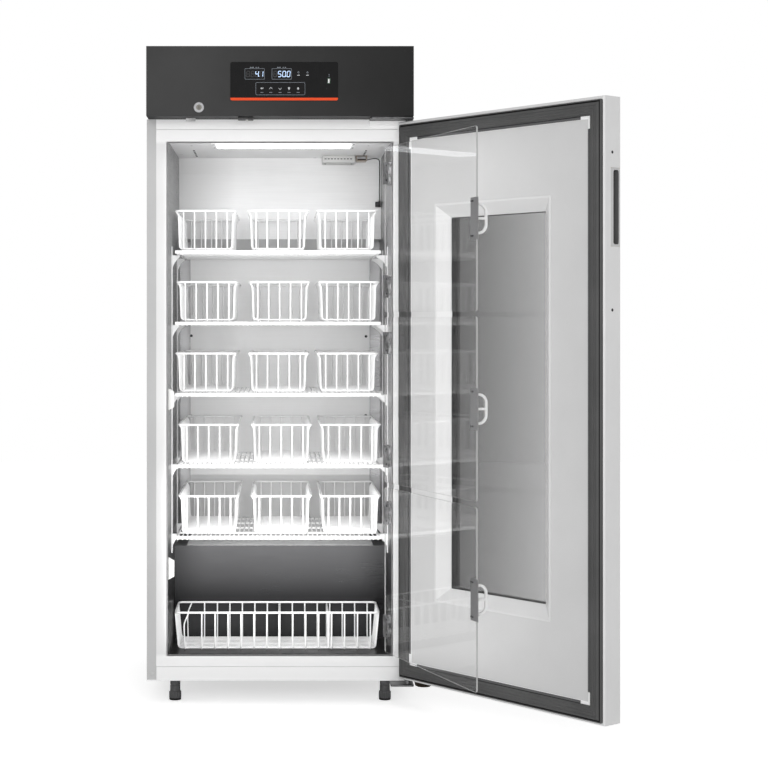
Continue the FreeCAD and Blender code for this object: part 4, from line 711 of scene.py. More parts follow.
# the folded hem that shows as a bright line along the bottom of the front, in the frame's white rather than the
# case paint: painted highlight for the light its fold catches
caseHem = {"x": (-325.0, 325.0), "y": (-0.6, 0.4), "z": (54.0, 56.6), "soft": 0.45}
hem = bmesh.new()
addPart(hem, block(**caseHem))
makePiece("caseBottomHem", hem, "cabinet", [frameWhite])
print("front frame made")


# chamber: shelf supports, shelves

supports = {"wall": 274.0, "thick": 2.0, "width": 25.0, "fronts": (150.0, 375.0), "bottom": 346.0, "top": 1119.8,
        "slotPitch": 25.0, "slotHeight": 12.0, "slotWidth": 4.0, "bracketThick": 14.0, "bracketHeight": 31.0,
        "tipLeft": -254.0, "tipRight": 244.0, "shelfThick": 8.0, "tipHeight": 5.0, "curveIn": 1.2, "curveDown": 1.3}
shelfTops = [401.0 + 176.2 * n for n in range(5)]


def makeSupports(look):
    bm = bmesh.new()
    count = int((look["top"] - look["bottom"]) / look["slotPitch"])
    start = look["bottom"] + look["slotPitch"] / 2
    for y in look["fronts"]:
        for side, tip in ((-1, look["tipLeft"]), (1, look["tipRight"])):
            # the standard: a strip on the wall with two rows of hook slots
            holes = []
            for row in (0.3, 0.7):
                middle = y + look["width"] * row
                for n in range(count):
                    z = start + look["slotPitch"] * n
                    holes.append(rectangle(middle - look["slotWidth"] / 2, middle + look["slotWidth"] / 2,
                            z - look["slotHeight"] / 2, z + look["slotHeight"] / 2))
            strip = plate(rectangle(y, y + look["width"], look["bottom"], look["top"]), 0.0, look["thick"],
                    holes, soft=0.3, segments=1)
            turn = Matrix(((0, side, 0, 0), (1, 0, 0, 0), (0, 0, 1, 0), (0, 0, 0, 1)))
            inner = side * (look["wall"] - look["thick"])
            addPart(bm, strip, matrix=Matrix.Translation((inner, 0, 0)) @ turn)
            middle = y + look["width"] / 2
            for top in shelfTops:
                addPart(bm, bracket(look, inner, tip, top - look["shelfThick"], middle))
    bmesh.ops.recalc_face_normals(bm, faces=bm.faces[:])
    makePiece("shelfSupports", bm, "cabinet", [shelfWhite], ["shelf_supports"])


def bracket(look, wallX, tipX, under, middle):
    # a bent sheet bracket whose lower edge curves in from the wall to the tip
    reach, tip = tipX - wallX, look["tipHeight"]
    outline = [(wallX, under), (tipX, under), (tipX, under - tip)]
    for n in range(1, 6):
        t = n / 6
        x = tipX - reach * (1 - (1 - t) ** look["curveIn"])
        outline.append((x, under - tip - (look["bracketHeight"] - tip) * t ** look["curveDown"]))
    outline.append((wallX, under - look["bracketHeight"]))
    half = look["bracketThick"] / 2
    if reach < 0:
        outline.reverse()
    return plate(outline, middle - half, middle + half, soft=0.9)


makeSupports(supports)

shelf = {"left": -259.0, "right": 249.0, "front": 48.0, "depth": 424.0, "thick": 8.0, "pitch": 11.5,
        "wire": 1.7, "bar": 2.7, "crossBars": 3, "frontDrop": 9.6,
        "stripBehind": 1.4, "stripThick": 1.6, "bend": 2.2, "weld": 1.2, "ringBehind": 0.8, "ringCorner": 9.0}


def makeShelves(look):
    bm = bmesh.new()
    left, right, front = look["left"], look["right"], look["front"]
    back = front + look["depth"]
    wire, bar = look["wire"], look["bar"]
    count = int((right - left - 2 * bar) / look["pitch"])
    start = (left + right - count * look["pitch"]) / 2
    bent = front + wire + look["stripBehind"]
    for top in shelfTops:
        runs = []
        wireZ = top - wire
        for n in range(count + 1):
            x = start + look["pitch"] * n
            line = [(x, bent, top - look["frontDrop"]), (x, bent, wireZ), (x, back - wire, wireZ)]
            runs.append((softCorners(line, look["bend"], 2), False))
        addPart(bm, wires(runs, wire, 1))
        barZ = top - 2 * wire - bar + look["weld"]
        bars = [levelRing(left + bar, right - bar, front + 2 * wire + bar + look["ringBehind"], back - bar, barZ,
                look["ringCorner"], 4)]
        step = look["depth"] / (look["crossBars"] + 1)
        for n in range(look["crossBars"]):
            y = front + step * (n + 1)
            bars.append(([(left + bar, y, barZ), (right - bar, y, barZ)], False))
        addPart(bm, wires(bars, bar, 2))
        # the flat strip that closes the front edge
        strip = (front, front + look["stripThick"]), (top - look["thick"], top - 0.1)
        addPart(bm, block((left, right), *strip, soft=0.6))
    makePiece("wireShelves", bm, "cabinet", [shelfWhite], ["wire_shelves"], sharp=75)


makeShelves(shelf)
print("shelves made")


# baskets

basket = {"width": 152.0, "depth": 400.0, "height": 100.0, "front": 50.0, "rimWire": 2.55, "wire": 1.9,
        "rimCorner": 12.0, "flare": 6.0, "flareDrop": 10.0, "taper": 2.5, "bottomCorner": 8.0, "pitch": 27.0,
        "columns": (-180.5, -1.0, 170.0), "rowShift": (4.0, 4.0, -3.0, 0.0, -4.0), "lift": 0.3,
        "hook": 1.5, "weld": 0.8}


def cradle(look, low, high, rimZ, floorZ):
    # (place, height) of a wire that hangs from the rim at both ends
    hookZ, flareZ = rimZ - look["hook"], rimZ - look["flareDrop"]
    flare, taper = look["flare"], look["taper"]
    return [(low, hookZ), (low + flare, flareZ), (low + flare + taper, floorZ), (high - flare - taper, floorZ),
            (high - flare, flareZ), (high, hookZ)]


def makeBasket(look, name, node, body, x, z):
    bm = bmesh.new()
    rim, wire, pitch = look["rimWire"], look["wire"], look["pitch"]
    half = look["width"] / 2
    y0, y1 = look["front"], look["front"] + look["depth"]
    rimZ = z + look["height"] - rim
    low = z + wire
    ring = levelRing(x - half + rim, x + half - rim, y0 + rim, y1 - rim, rimZ, look["rimCorner"], 5)
    addPart(bm, wires([ring], rim, 2))
    lines = []
    reach = int((half - look["flare"]) / pitch)
    for n in range(-reach, reach + 1):
        lines.append([(x + n * pitch, y, h) for y, h in cradle(look, y0 + rim, y1 - rim, rimZ, low)])
    count = int((look["depth"] - 2 * look["flare"]) / pitch)
    start = (y0 + y1) / 2 - (count - 1) / 2 * pitch
    inner = half - rim
    for n in range(count):
        across = cradle(look, x - inner, x + inner, rimZ, low + 2 * wire - look["weld"])
        lines.append([(side, start + n * pitch, h) for side, h in across])
    addPart(bm, wires([(softCorners(line, look["bottomCorner"], 3), False) for line in lines], wire, 1))
    makePiece(name, bm, body, [basketWhite], [node], sharp=75)


for row, top in enumerate(shelfTops):
    for column, middle in enumerate(basket["columns"]):
        label = f"{row + 1}_{column + 1}"
        makeBasket(basket, f"smallBasket_{label}", f"basket_{label}", f"basket_body_{label}",
                middle + basket["rowShift"][row], top + basket["lift"])

wideBasket = {"left": -266.0, "right": 251.0, "front": 118.0, "back": 288.0, "bottom": 105.3, "top": 202.3,
        "rimWire": 2.7, "wire": 1.95, "rimCorner": 14.0, "slopeSide": 8.0, "slopeFront": 3.0,
        "frontWires": (-233.0, -196.5), "firstEven": -163.0, "evenPitch": 32.5, "evenCount": 13,
        "floorPitch": 18.4, "floorWire": 1.6, "dividers": (-2.5, 121.3), "dividerPitch": 33.0, "bottomCorner": 9.0,
        "bow": {"top": 4, "out": 8, "foot": 6, "inset": 1, "drop": 28}, "endGap": 12, "firstFloor": 7,
        "weld": 0.5, "dividerRaise": 4, "dividerDrop": 3, "dividerInset": 1.5, "dividerCorner": 7.0}


def makeWideBasket(look):
    bm = bmesh.new()
    rim, wire = look["rimWire"], look["wire"]
    x0, x1, y0, y1 = look["left"] + rim, look["right"] - rim, look["front"] + rim, look["back"] - rim
    rimZ, low = look["top"] - rim, look["bottom"] + wire
    addPart(bm, wires([levelRing(x0, x1, y0, y1, rimZ, look["rimCorner"], 5)], rim, 2))
    runs = []
    slope, side = look["slopeFront"], look["slopeSide"]
    even = [look["firstEven"] + look["evenPitch"] * n for n in range(look["evenCount"])]
    for n, x in enumerate([*look["frontWires"], *even]):
        line = [(x, y0, rimZ), (x, y0 + slope, low), (x, y1 - slope, low), (x, y1, rimZ)]
        if n == 0:
            # the end wire bows outwards below the rim
            bow = look["bow"]
            top, out, foot, bowZ = x + bow["top"], x - bow["out"], x - bow["foot"], rimZ - bow["drop"]
            line = [(top, y0, rimZ), (out, y0 + bow["inset"], bowZ), (foot, y0 + slope, low),
                    (foot, y1 - slope, low), (out, y1 - bow["inset"], bowZ), (top, y1, rimZ)]
        runs.append((softCorners(line, look["bottomCorner"], 3), False))
    addPart(bm, wires(runs, wire, 1))
    runs = []
    floorZ = low + wire + look["floorWire"] - look["weld"]
    for n in range(int((y1 - y0 - look["endGap"]) / look["floorPitch"]) + 1):
        y = y0 + look["firstFloor"] + look["floorPitch"] * n
        line = [(x0, y, rimZ), (x0 + side, y, floorZ), (x1 - side, y, floorZ), (x1, y, rimZ)]
        runs.append((softCorners(line, look["bottomCorner"], 3), False))
    addPart(bm, wires(runs, look["floorWire"], 1))
    runs = []
    base, top, inset = low + look["dividerRaise"], rimZ - look["dividerDrop"], look["dividerInset"]
    inside = int((y1 - y0) / look["dividerPitch"])
    for x in look["dividers"]:
        line = [(x, y0 + slope, base), (x, y0 + inset, top), (x, y1 - inset, top), (x, y1 - slope, base)]
        runs.append((softCorners(line, look["dividerCorner"], 3), False))
        for n in range(1, inside + 1):
            y = y0 + (y1 - y0) * n / (inside + 1)
            runs.append(([(x, y, base), (x, y, top)], False))
    addPart(bm, wires(runs, wire, 1))
    makePiece("wideWireBasket", bm, "wide_basket_body", [basketWhite], ["wide_basket"], sharp=75)


makeWideBasket(wideBasket)
print("baskets made")


# lamp, sensor and ceiling fittings

lamp = {"x": (-171.0, 189.0), "y": (60.0, 165.0), "z": (1368.0, 1373.0), "rim": 5.0, "endCap": 12.0,
        "lift": 1.4, "screwInset": 14}


def makeLamp(look):
    bm = bmesh.new()
    addPart(bm, block(look["x"], look["y"], (look["z"][0] + look["lift"], look["z"][1]), soft=0.8))
    rim, cap, inset = look["rim"], look["endCap"], look["screwInset"]
    diffuser = block((look["x"][0] + cap, look["x"][1] - cap), (look["y"][0] + rim, look["y"][1] - rim),
            (look["z"][0], look["z"][1] - 1.0), soft=1.3, segments=3)
    addPart(bm, diffuser, 1)
    for x in (look["x"][0] + cap / 2, look["x"][1] - cap / 2):
        for y in (look["y"][0] + inset, look["y"][1] - inset):
            addPart(bm, screwHead(2.6, 1.2), 2, facing(x, y, look["z"][0] + look["lift"], (0, 0, -1)))
    makePiece("ceilingLamp", bm, "cabinet", [frameWhite, diffuserGlow, hingeSteel], ["ceiling_lamp"])


makeLamp(lamp)

ceiling = {"blockX": (113.5, 200.0), "blockY": (384.0, 462.0), "blockZ": (1354.0, 1373.0), "dashes": 9,
        "dashEnd": 5, "dashShare": 0.62, "dashZ": (1362.4, 1364.6), "screwInset": 8, "screwBehind": 40,
        "clipWall": 2.2, "wireRise": 4.2, "wireRadius": 1.9, "slotGap": 0.15,
        "clipX": (203.0, 232.0), "clipY": (388.0, 430.0), "clipZ": (1358.0, 1373.0),
        "slotX": 223.0, "slotWidth": 5.0, "slotZ": (1373.4, 1373.9), "firstSlot": 137.0,
        "slotStart": 250.0, "slotPitch": 38.0, "slotLength": 26.0, "slotCount": 5}


def makeCeilingFittings(look):
    bm = bmesh.new()
    addPart(bm, block(look["blockX"], look["blockY"], look["blockZ"], soft=1.6, segments=3))
    x0, x1 = look["blockX"]
    y0 = look["blockY"][0]
    step = (x1 - x0 - 2 * look["dashEnd"]) / look["dashes"]
    for n in range(look["dashes"]):
        left = x0 + look["dashEnd"] + step * n
        dash = block((left, left + step * look["dashShare"]), (y0 - 0.35, y0 + 0.6), look["dashZ"], soft=0.15)
        addPart(bm, dash, 1)
    for x in (x0 + look["screwInset"], x1 - look["screwInset"]):
        spot = facing(x, y0 + look["screwBehind"], look["blockZ"][0], (0, 0, -1))
        addPart(bm, screwHead(2.8, 1.1), 2, spot)
    (cx0, cx1), (cy0, cy1), (cz0, cz1), wall = look["clipX"], look["clipY"], look["clipZ"], look["clipWall"]
    addPart(bm, pictureFrame((cx0, cx1, cz0, cz1 + 2.0), [(0.0, cy0), (wall, cy0), (wall, cy1), (0.0, cy1)],
            corner=3.0), 3)
    wireZ = cz0 + look["wireRise"]
    held = [(cx0 + 3, cy0 + 2, wireZ), (cx1 - 3, cy0 + 2, wireZ)]
    addPart(bm, wires([(held, False)], look["wireRadius"], 2), 4)
    makePiece("ceilingConnectors", bm, "cabinet", [catchWhite, blackPlastic, hingeSteel, clipAmber, capBrown])
    # dark plates just inside the ceiling air slots: painted shade in the open slots
    mesh = bmesh.new()
    gap = look["slotGap"]
    half = look["slotWidth"] / 2 - gap
    starts = [look["slotStart"] + look["slotPitch"] * n for n in range(look["slotCount"])]
    spans = [(look["firstSlot"], look["firstSlot"] + look["slotWidth"])]
    spans += [(start, start + look["slotLength"]) for start in starts]
    for x in (-look["slotX"], look["slotX"]):
        for a, b in spans:
            addPart(mesh, block((x - half, x + half), (a + gap, b - gap), look["slotZ"], soft=0.1, segments=1))
    makePiece("airSlotShade", mesh, "cabinet", [blackRubberAndShade])


makeCeilingFittings(ceiling)

sensor = {"x": (258.0, 272.0), "y": (461.0, 475.0), "z": (1241.0, 1255.0), "leadRadius": 1.25,
        "slits": 3, "firstSlit": 3.6, "slitPitch": 3.1, "slitHeight": 1.2, "slitInset": 2.4,
        "nut": ((0, 0), (2.4, 0), (2.4, 3.0), (1.7, 3.6), (0, 3.6)), "nutX": 269.4, "nutY": 471.6,
    # the lead, from the clip on the ceiling down to the sensor
        "route": ((231.0, 432.0, 1364.0), (246.0, 440.0, 1369.5), (262.0, 450.0, 1370.5), (269.2, 459.0, 1367.0),
        (269.8, 466.0, 1352.0), (269.8, 472.4, 1330.0), (269.9, 473.3, 1310.0), (269.2, 473.2, 1285.0),
        (269.9, 472.6, 1266.0), (269.4, 471.6, 1257.0))}


def makeSensor(look):
    bm = bmesh.new()
    addPart(bm, block(look["x"], look["y"], look["z"], soft=1.6, segments=3))
    x, y = (look["x"][0] + look["slitInset"], look["x"][1] - look["slitInset"]), look["y"][0]
    for n in range(look["slits"]):
        z = look["z"][0] + look["firstSlit"] + look["slitPitch"] * n
        addPart(bm, block(x, (y - 0.35, y + 0.4), (z, z + look["slitHeight"]), soft=0.25), 1)
    nut = turned(look["nut"], 12)
    addPart(bm, nut, matrix=facing(look["nutX"], look["nutY"], look["z"][1] - 0.3, (0, 0, 1)))
    addPart(bm, wires([(look["route"], False)], look["leadRadius"], 3, "NURBS"))
    makePiece("airSensor", bm, "cabinet", [blackPlastic, darkSteel], ["air_sensor"], sharp=50)


makeSensor(sensor)

ductScrews = {"places": ((-240.5, 892.0), (233.4, 890.5), (-240.3, 674.0), (232.6, 676.0)), "y": 475.0,
        "radius": 3.6, "height": 1.6}
trim = bmesh.new()
for x, z in ductScrews["places"]:
    head = screwHead(ductScrews["radius"], ductScrews["height"])
    addPart(trim, head, matrix=facing(x, ductScrews["y"], z, (0, -1, 0)))
makePiece("ductScrews", trim, "cabinet", [darkSteel])
print("chamber fittings made")


# outer door

seal = {"box": (-318.2, 312.5, 72.3, 1404.3), "face": -10.2, "corner": 3.0, "width": 33.0,
        "section": ((0.0, 0.0), (0.0, 4.6), (0.9, 6.2), (2.8, 6.6), (3.6, 5.4), (4.2, 3.6), (5.0, 3.4), (5.7, 5.8),
        (6.4, 8.3), (8.0, 9.2), (12.0, 9.4), (12.6, 8.5), (13.4, 8.5), (14.0, 9.5), (18.6, 9.5),
        (19.2, 8.7), (20.0, 8.7), (20.6, 9.4), (24.0, 9.2), (25.0, 8.2), (25.8, 8.2),
        (26.6, 8.7), (29.0, 8.2), (30.4, 6.2), (31.2, 4.4), (32.0, 4.2), (32.8, 3.0), (33.0, 0.0)),
        "grooveShadeFrom": 2.8, "grooveShadeTo": 5.7,
        "rim": 7.0, "rimHigh": 1.2, "stripHigh": 3.2, "stripWidth": 6.6, "stripShort": 28.0,
        "stripLap": 0.3, "groove": 1.6, "grooveLap": 0.1}


def grooveIn(span, atStart):
    # the groove between a retaining strip and the gasket, filled with a black block: painted shade
    lap, wide = seal["grooveLap"], seal["groove"]
    return (span[0] - lap, span[0] + wide) if atStart else (span[1] - wide, span[1] + lap)


def makeSeal(look):
    bm = bmesh.new()
    section = [(a, look["face"] + h) for a, h in look["section"]]
    addPart(bm, pictureFrame(look["box"], section, corner=look["corner"], steps=3))
    x0, x1, z0, z1 = look["box"]
    # faces down in the outer groove are painted black: painted shade in the gap at the door's edge
    for face in bm.faces:
        c = face.calc_center_median()
        inwards = min(c.x - x0, x1 - c.x, c.z - z0, z1 - c.z)
        if look["grooveShadeFrom"] < inwards < look["grooveShadeTo"]:
            face.material_index = 1
    makePiece("doorGasket", bm, "outer_door", [gasketGrey, blackRubberAndShade], ["door_gasket"],
            outerSwing, sharp=50)
    inner = (x0 + look["width"], x1 - look["width"], z0 + look["width"], z1 - look["width"])
    rim = bmesh.new()
    low, high = look["face"] - 0.2, look["face"] + look["rimHigh"]
    addPart(rim, pictureFrame(inner, [(-0.5, low), (-0.5, high - 0.3), (0.0, high), (look["rim"] - 0.6, high),
            (look["rim"], high - 0.5), (look["rim"], low)]))
    makePiece("doorLinerRim", rim, "outer_door", [rimWhite], swing=outerSwing)
    strips = bmesh.new()
    ix0, ix1, iz0, iz1 = inner
    wide, short = look["stripWidth"], look["stripShort"]
    base, top = high - 0.1, look["face"] + look["stripHigh"]
    across, upright = (ix0 + short, ix1 - short), (iz0 + short, iz1 - short)
    lap = look["stripLap"]
    spans = [(across, (iz0 - lap, iz0 + wide)), (across, (iz1 - wide, iz1 + lap)),
            ((ix0 - lap, ix0 + wide), upright), ((ix1 - wide, ix1 + lap), upright)]
    for n, (x, z) in enumerate(spans):
        addPart(strips, block(x, (base, top), z, soft=0.7, segments=3))
        grooveX, grooveZ = (x, grooveIn(z, n == 0)) if n < 2 else (grooveIn(x, n == 2), z)
        # a black block in each groove: painted shade
        addPart(strips, block(grooveX, (base, top + 0.35), grooveZ, soft=0.2), 1)
    makePiece("gasketRetainers", strips, "outer_door", [stripGrey, blackRubberAndShade], swing=outerSwing)


makeSeal(seal)

window = {"box": (-170.0, 192.0, 268.5, 1207.3), "face": -10.2, "width": 33.0, "depth": 22.8,
        "section": ((0.0, 0.4), (0.0, -0.9), (0.7, -1.5), (4.6, -1.5), (5.9, -0.6), (31.6, 19.4), (32.8, 20.6),
        (33.0, 21.4), (33.0, 22.8), (30.5, 22.8), (30.0, 20.4), (5.0, 2.4), (2.0, 0.6)),
        "lap": 14.0, "pane": 4.0, "unit": 24.0, "spacer": 10.0, "spacerEdge": 1.5, "gap": 0.2}


def makeWindow(look):
    bm = bmesh.new()
    section = [(a, look["face"] - d) for a, d in look["section"]]
    addPart(bm, pictureFrame(look["box"], section))
    makePiece("windowBezel", bm, "outer_door", [bezelGrey], ["window_bezel"], outerSwing, sharp=25)
    x0, x1, z0, z1 = look["box"]
    inset = look["width"] - look["lap"] + look["gap"]
    unit = (x0 + inset, x1 - inset, z0 + inset, z1 - inset)
    back = look["face"] - look["depth"]
    front = back - look["unit"]
    glass = bmesh.new()
    for y in (back - look["pane"], front):
        addPart(glass, block(unit[:2], (y, y + look["pane"]), unit[2:], soft=0.5))
    makePiece("windowGlass", glass, "outer_door", [windowGlass], ["glazing_unit"], outerSwing)
    spacer = bmesh.new()
    y0, y1 = front + look["pane"], back - look["pane"]
    s, e = look["spacer"], look["spacerEdge"]
    addPart(spacer, pictureFrame(unit, [(0.0, y0), (0.0, y1), (s - e, y1), (s, y1 - e), (s, y0 + e), (s - e, y0)]))
    makePiece("windowSpacer", spacer, "outer_door", [spacerDark], swing=outerSwing)


makeWindow(window)

grip = {"edge": -321.6, "z": (1090.0, 1259.5), "y": (-61.0, -32.0), "slotY": (-58.5, -40.5), "slotEnd": 5.0,
        "depth": 26.0, "proud": 1.2}


def makeGrip(look):
    # flange flush in the free edge with a deep finger slot behind it
    bm = bmesh.new()
    edge = look["edge"]
    z0, z1 = look["z"]
    hole = roundRectangle(*look["slotY"], z0 + look["slotEnd"], z1 - look["slotEnd"], 5.0, 5)
    flange = plate(roundRectangle(*look["y"], z0, z1, 4.0, 4), 0.0, look["proud"] - 0.1, [hole], soft=0.35)
    turn = Matrix(((0, 1, 0, 0), (1, 0, 0, 0), (0, 0, 1, 0), (0, 0, 0, 1)))
    addPart(bm, flange, 0, Matrix.Translation((edge + 0.05, 0, 0)) @ turn)
    cup = bmesh.new()
    loop = [cup.verts.new((edge + look["proud"] - 0.3, y, z)) for y, z in hole]
    mouth = [cup.edges.new((a, b)) for a, b in zip(loop, loop[1:] + loop[:1])]
    grown = bmesh.ops.extrude_edge_only(cup, edges=mouth)["geom"]
    deep = [v for v in grown if isinstance(v, bmesh.types.BMVert)]
    bmesh.ops.translate(cup, verts=deep, vec=(look["depth"] - look["proud"], 0, 0))
    bmesh.ops.contextual_create(cup, geom=[e for e in grown if isinstance(e, bmesh.types.BMEdge)
            and all(v in deep for v in e.verts)])
    bmesh.ops.recalc_face_normals(cup, faces=cup.faces[:])
    walls = [e for e in cup.edges if len(e.link_faces) == 2 and all(v in deep for v in e.verts)]
    bmesh.ops.bevel(cup, geom=walls, offset=3.0, segments=3, profile=0.5, affect="EDGES", material=-1)
    bmesh.ops.solidify(cup, geom=cup.faces[:], thickness=-1.2)
    bmesh.ops.recalc_face_normals(cup, faces=cup.faces[:])
    # the inside of the finger slot takes a darker grey than the flange: painted shade in the recess
    addPart(bm, cup, 1)
    bmesh.ops.recalc_face_normals(bm, faces=bm.faces[:])
    makePiece("gripInsert", bm, "outer_door", [gripGrey, slotShadeGrey], ["door_handle_insert"], outerSwing)


makeGrip(grip)

doorTrim = {"holeZ": (1292.0, 954.0), "holeY": -36.8, "radius": 2.4, "capY": -36.75, "capX": 261.0,
        "capRadius": 21.5, "capTop": 66.0, "capHeight": 11.7}


def makeDoorTrim(look):
    bm = bmesh.new()
    for z in look["holeZ"]:
        plug = turned([(0, 0.05), (look["radius"] * 0.7, 0.1), (look["radius"], 0.35), (look["radius"] * 1.3, 0.3),
                (look["radius"] * 1.45, 0.0), (0, -0.2)], 20)
        addPart(bm, plug, matrix=facing(grip["edge"], look["holeY"], z, (-1, 0, 0)))
    makePiece("edgeScrewPlugs", bm, "outer_door", [darkSteel], swing=outerSwing)
    cap = bmesh.new()
    r, h = look["capRadius"], look["capHeight"]
    shape = turned([(0, 0), (r, 0), (r, h * 0.3), (r - 0.7, h * 0.38), (r - 0.7, h * 0.62), (r - 2.2, h * 0.86),
            (r - 5.5, h), (7.5, h), (6.5, h - 1.4), (0, h - 1.4)], 48)
    addPart(cap, shape, 0, facing(look["capX"], look["capY"], look["capTop"], (0, 0, -1)))
    middle = facing(look["capX"], look["capY"], look["capTop"] - h + 1.4, (0, 0, -1))
    addPart(cap, screwHead(4.2, 1.3, 0.6), 1, middle)
    makePiece("closerCap", cap, "outer_door", [capBrown, darkSteel], ["door_closer_cap"], outerSwing)


makeDoorTrim(doorTrim)
print("outer door made")


# inner doors and their hardware

inner = {"count": 3, "bottom": 121.7, "pitch": 415.6, "height": 403.0, "free": -253.0, "hingeEdge": 250.0,
        "y": (20.0, 24.0), "corner": 7.0, "hingeFromEnd": 63.0, "leafX": (229.0, 240.0),
        "strikeX": (-240.0, -231.5), "leafReach": 32.0,
        "plateThick": 1.5, "plateReach": 1.8, "leafScrewX": 5, "leafScrews": (-18.0, 18.0),
        "strikeScrews": (-38.0, 38.0)}
# where the brackets' finishes change, in metres
bracketSplit = {"screwsBelow": 0.0499, "flangeAbove": 1.4, "flangeBehind": -0.3021}


def fittingFinish(spot):
    # steel hinge leaves, grey plates on the sheet, white loops; the place is turned back to the shut door
    away = Vector((spot.x * 1000 - innerSwing["x"], spot.y * 1000 + frontToOrigin - innerSwing["y"]))
    away.rotate(Matrix.Rotation(-math.radians(innerSwing["degrees"]), 2))
    if away.length < inner["leafReach"]:
        return 1
    low, high = inner["y"]
    near = inner["plateReach"]
    return 2 if low - near < away.y + innerSwing["y"] < high + near else 0


def bracketFinish(spot):
    # black screw heads below, white flange on the frame above
    if spot.z < bracketSplit["screwsBelow"]:
        return 1
    return 2 if spot.z > bracketSplit["flangeAbove"] and spot.y > bracketSplit["flangeBehind"] else 0


def makeInnerDoors(look):
    for n in range(look["count"]):
        low = look["bottom"] + look["pitch"] * n
        high = low + look["height"]
        middle = (low + high) / 2
        body = f"inner_door_leaf_{n + 1}"
        bm = bmesh.new()
        outline = roundRectangle(look["free"], look["hingeEdge"], low, high, look["corner"], 6)
        addPart(bm, plate(outline, *look["y"], soft=0.5))
        bm.normal_update()
        for face in bm.faces:
            # the sawn rim is an opaque pale grey, brighter than the clear faces: a frosted cut edge, lightened as
            # painted highlight for the light it catches
            face.material_index = 0 if abs(face.normal.y) > 0.9 else 1
        makePiece(f"innerDoorSheet_{n + 1}", bm, body, [acrylicClear, acrylicEdge],
                [f"inner_door_{n + 1}"], innerSwing)
        softenedCopy(f"innerDoorFittings_{n + 1}", f"inner_door_fittings_{n + 1}", body,
                [fittingWhite, leafSteel, plateGrey], 0.45, choose=fittingFinish)
        screws = bmesh.new()
        front, back = look["y"][0] - look["plateThick"], look["y"][1] + look["plateThick"]
        for z in (low + look["hingeFromEnd"], high - look["hingeFromEnd"]):
            for dz in look["leafScrews"]:
                spot = facing(look["leafX"][0] + look["leafScrewX"], back, z + dz, (0, 1, 0))
                addPart(screws, screwHead(2.7, 1.4), 0, spot)
        for dz in look["strikeScrews"]:
            for x in look["strikeX"]:
                addPart(screws, screwHead(2.3, 1.3), 0, facing(x, back, middle + dz, (0, 1, 0)))
                addPart(screws, screwHead(2.3, 1.3), 0, facing(x, front, middle + dz, (0, -1, 0)))
        makePiece(f"innerDoorScrews_{n + 1}", screws, body, [darkSteel], swing=innerSwing)


makeInnerDoors(inner)
softenedCopy("doorCatches", "inner_door_catches", "cabinet", [catchWhite], 0.8, 3)
softenedCopy("innerHingePosts", "inner_hinge_posts", "cabinet", [leafSteel], 0.4)
softenedCopy("outerHingeBrackets", "door_hinge_brackets", "cabinet", [hingeSteel, blackPlastic, frameWhite],
        0.5, choose=bracketFinish)

postScrews = {"x": 262.4, "y": 33.0, "apart": (-16.0, 16.0)}
fixings = bmesh.new()
for n in range(inner["count"]):
    low = inner["bottom"] + inner["pitch"] * n
    for z in (low + inner["hingeFromEnd"], low + inner["height"] - inner["hingeFromEnd"]):
        for dz in postScrews["apart"]:
            spot = facing(postScrews["x"], postScrews["y"], z + dz, (-1, 0, 0))
            addPart(fixings, screwHead(2.4, 1.2), 0, spot)
makePiece("hingePostScrews", fixings, "cabinet", [hingeSteel])
print("inner doors made")


# top housing and controls

housing = {"half": 321.0, "front": -70.0, "back": 600.0, "bottom": 1423.0, "top": 1590.8, "sheet": 1.5,
        "boltHole": (-229.0, -204.0, -27.0, -19.0), "pinHole": (-83.4, -76.6, -41.4, -28.6),
        "grilleMargin": 40.0, "grilleRows": 5, "grilleSlot": 5.0, "lockHole": (-194.5, 1443.5, 9.7)}
windows = [(-83.5, -38.0, 1511.5, 1535.5), (-18.6, 26.9, 1511.5, 1535.5)]
usb = (113.15, 120.85, 1500.0, 1514.0)


def flat(outline, z0, z1, holes=(), soft=0.4):
    # a level sheet: the same as plate, laid down
    cuts = [[(x, -y) for x, y in hole] for hole in holes]
    part = plate([(x, -y) for x, y in outline][::-1], 0.0, z1 - z0, cuts, soft)
    lay = Matrix(((1, 0, 0, 0), (0, 0, -1, 0), (0, 1, 0, z0), (0, 0, 0, 1)))
    bmesh.ops.transform(part, matrix=lay, verts=part.verts)
    bmesh.ops.recalc_face_normals(part, faces=part.faces[:])
    return part


def makeHousing(look):
    bm = bmesh.new()
    w, t = look["half"], look["sheet"]
    holes = [rectangle(*opening) for opening in windows] + [rectangle(*usb), circle(*look["lockHole"], 28)]
    bottom, top, front, back = look["bottom"], look["top"], look["front"], look["back"]
    addPart(bm, plate(rectangle(-w, w, bottom, top), front, front + t, holes, soft=0.6))
    openings = [rectangle(*look["boltHole"]), rectangle(*look["pinHole"])]
    addPart(bm, flat(rectangle(-w + t, w - t, front + t, 0.0), bottom, bottom + t, openings))
    # roof and sides are one folded sheet
    section = [(-w, bottom), (-w, top), (w, top), (w, bottom), (w - t, bottom), (w - t, top - t), (-w + t, top - t),
            (-w + t, bottom)]
    addPart(bm, plate(section, front + t, back - t, soft=0.7))
    margin = look["grilleMargin"]
    pitch = (top - bottom - margin) / (look["grilleRows"] + 1)
    slots = []
    for n in range(look["grilleRows"]):
        z = bottom + margin / 2 + pitch * (n + 1)
        slots.append(roundRectangle(-w + margin, w - margin, z, z + look["grilleSlot"], 2.0, 3))
    addPart(bm, plate(rectangle(-w, w, bottom, top), back - t, back, slots, soft=0.5))
    makePiece("topHousing", bm, "cabinet", [housingGrey], ["top_housing"])


makeHousing(housing)

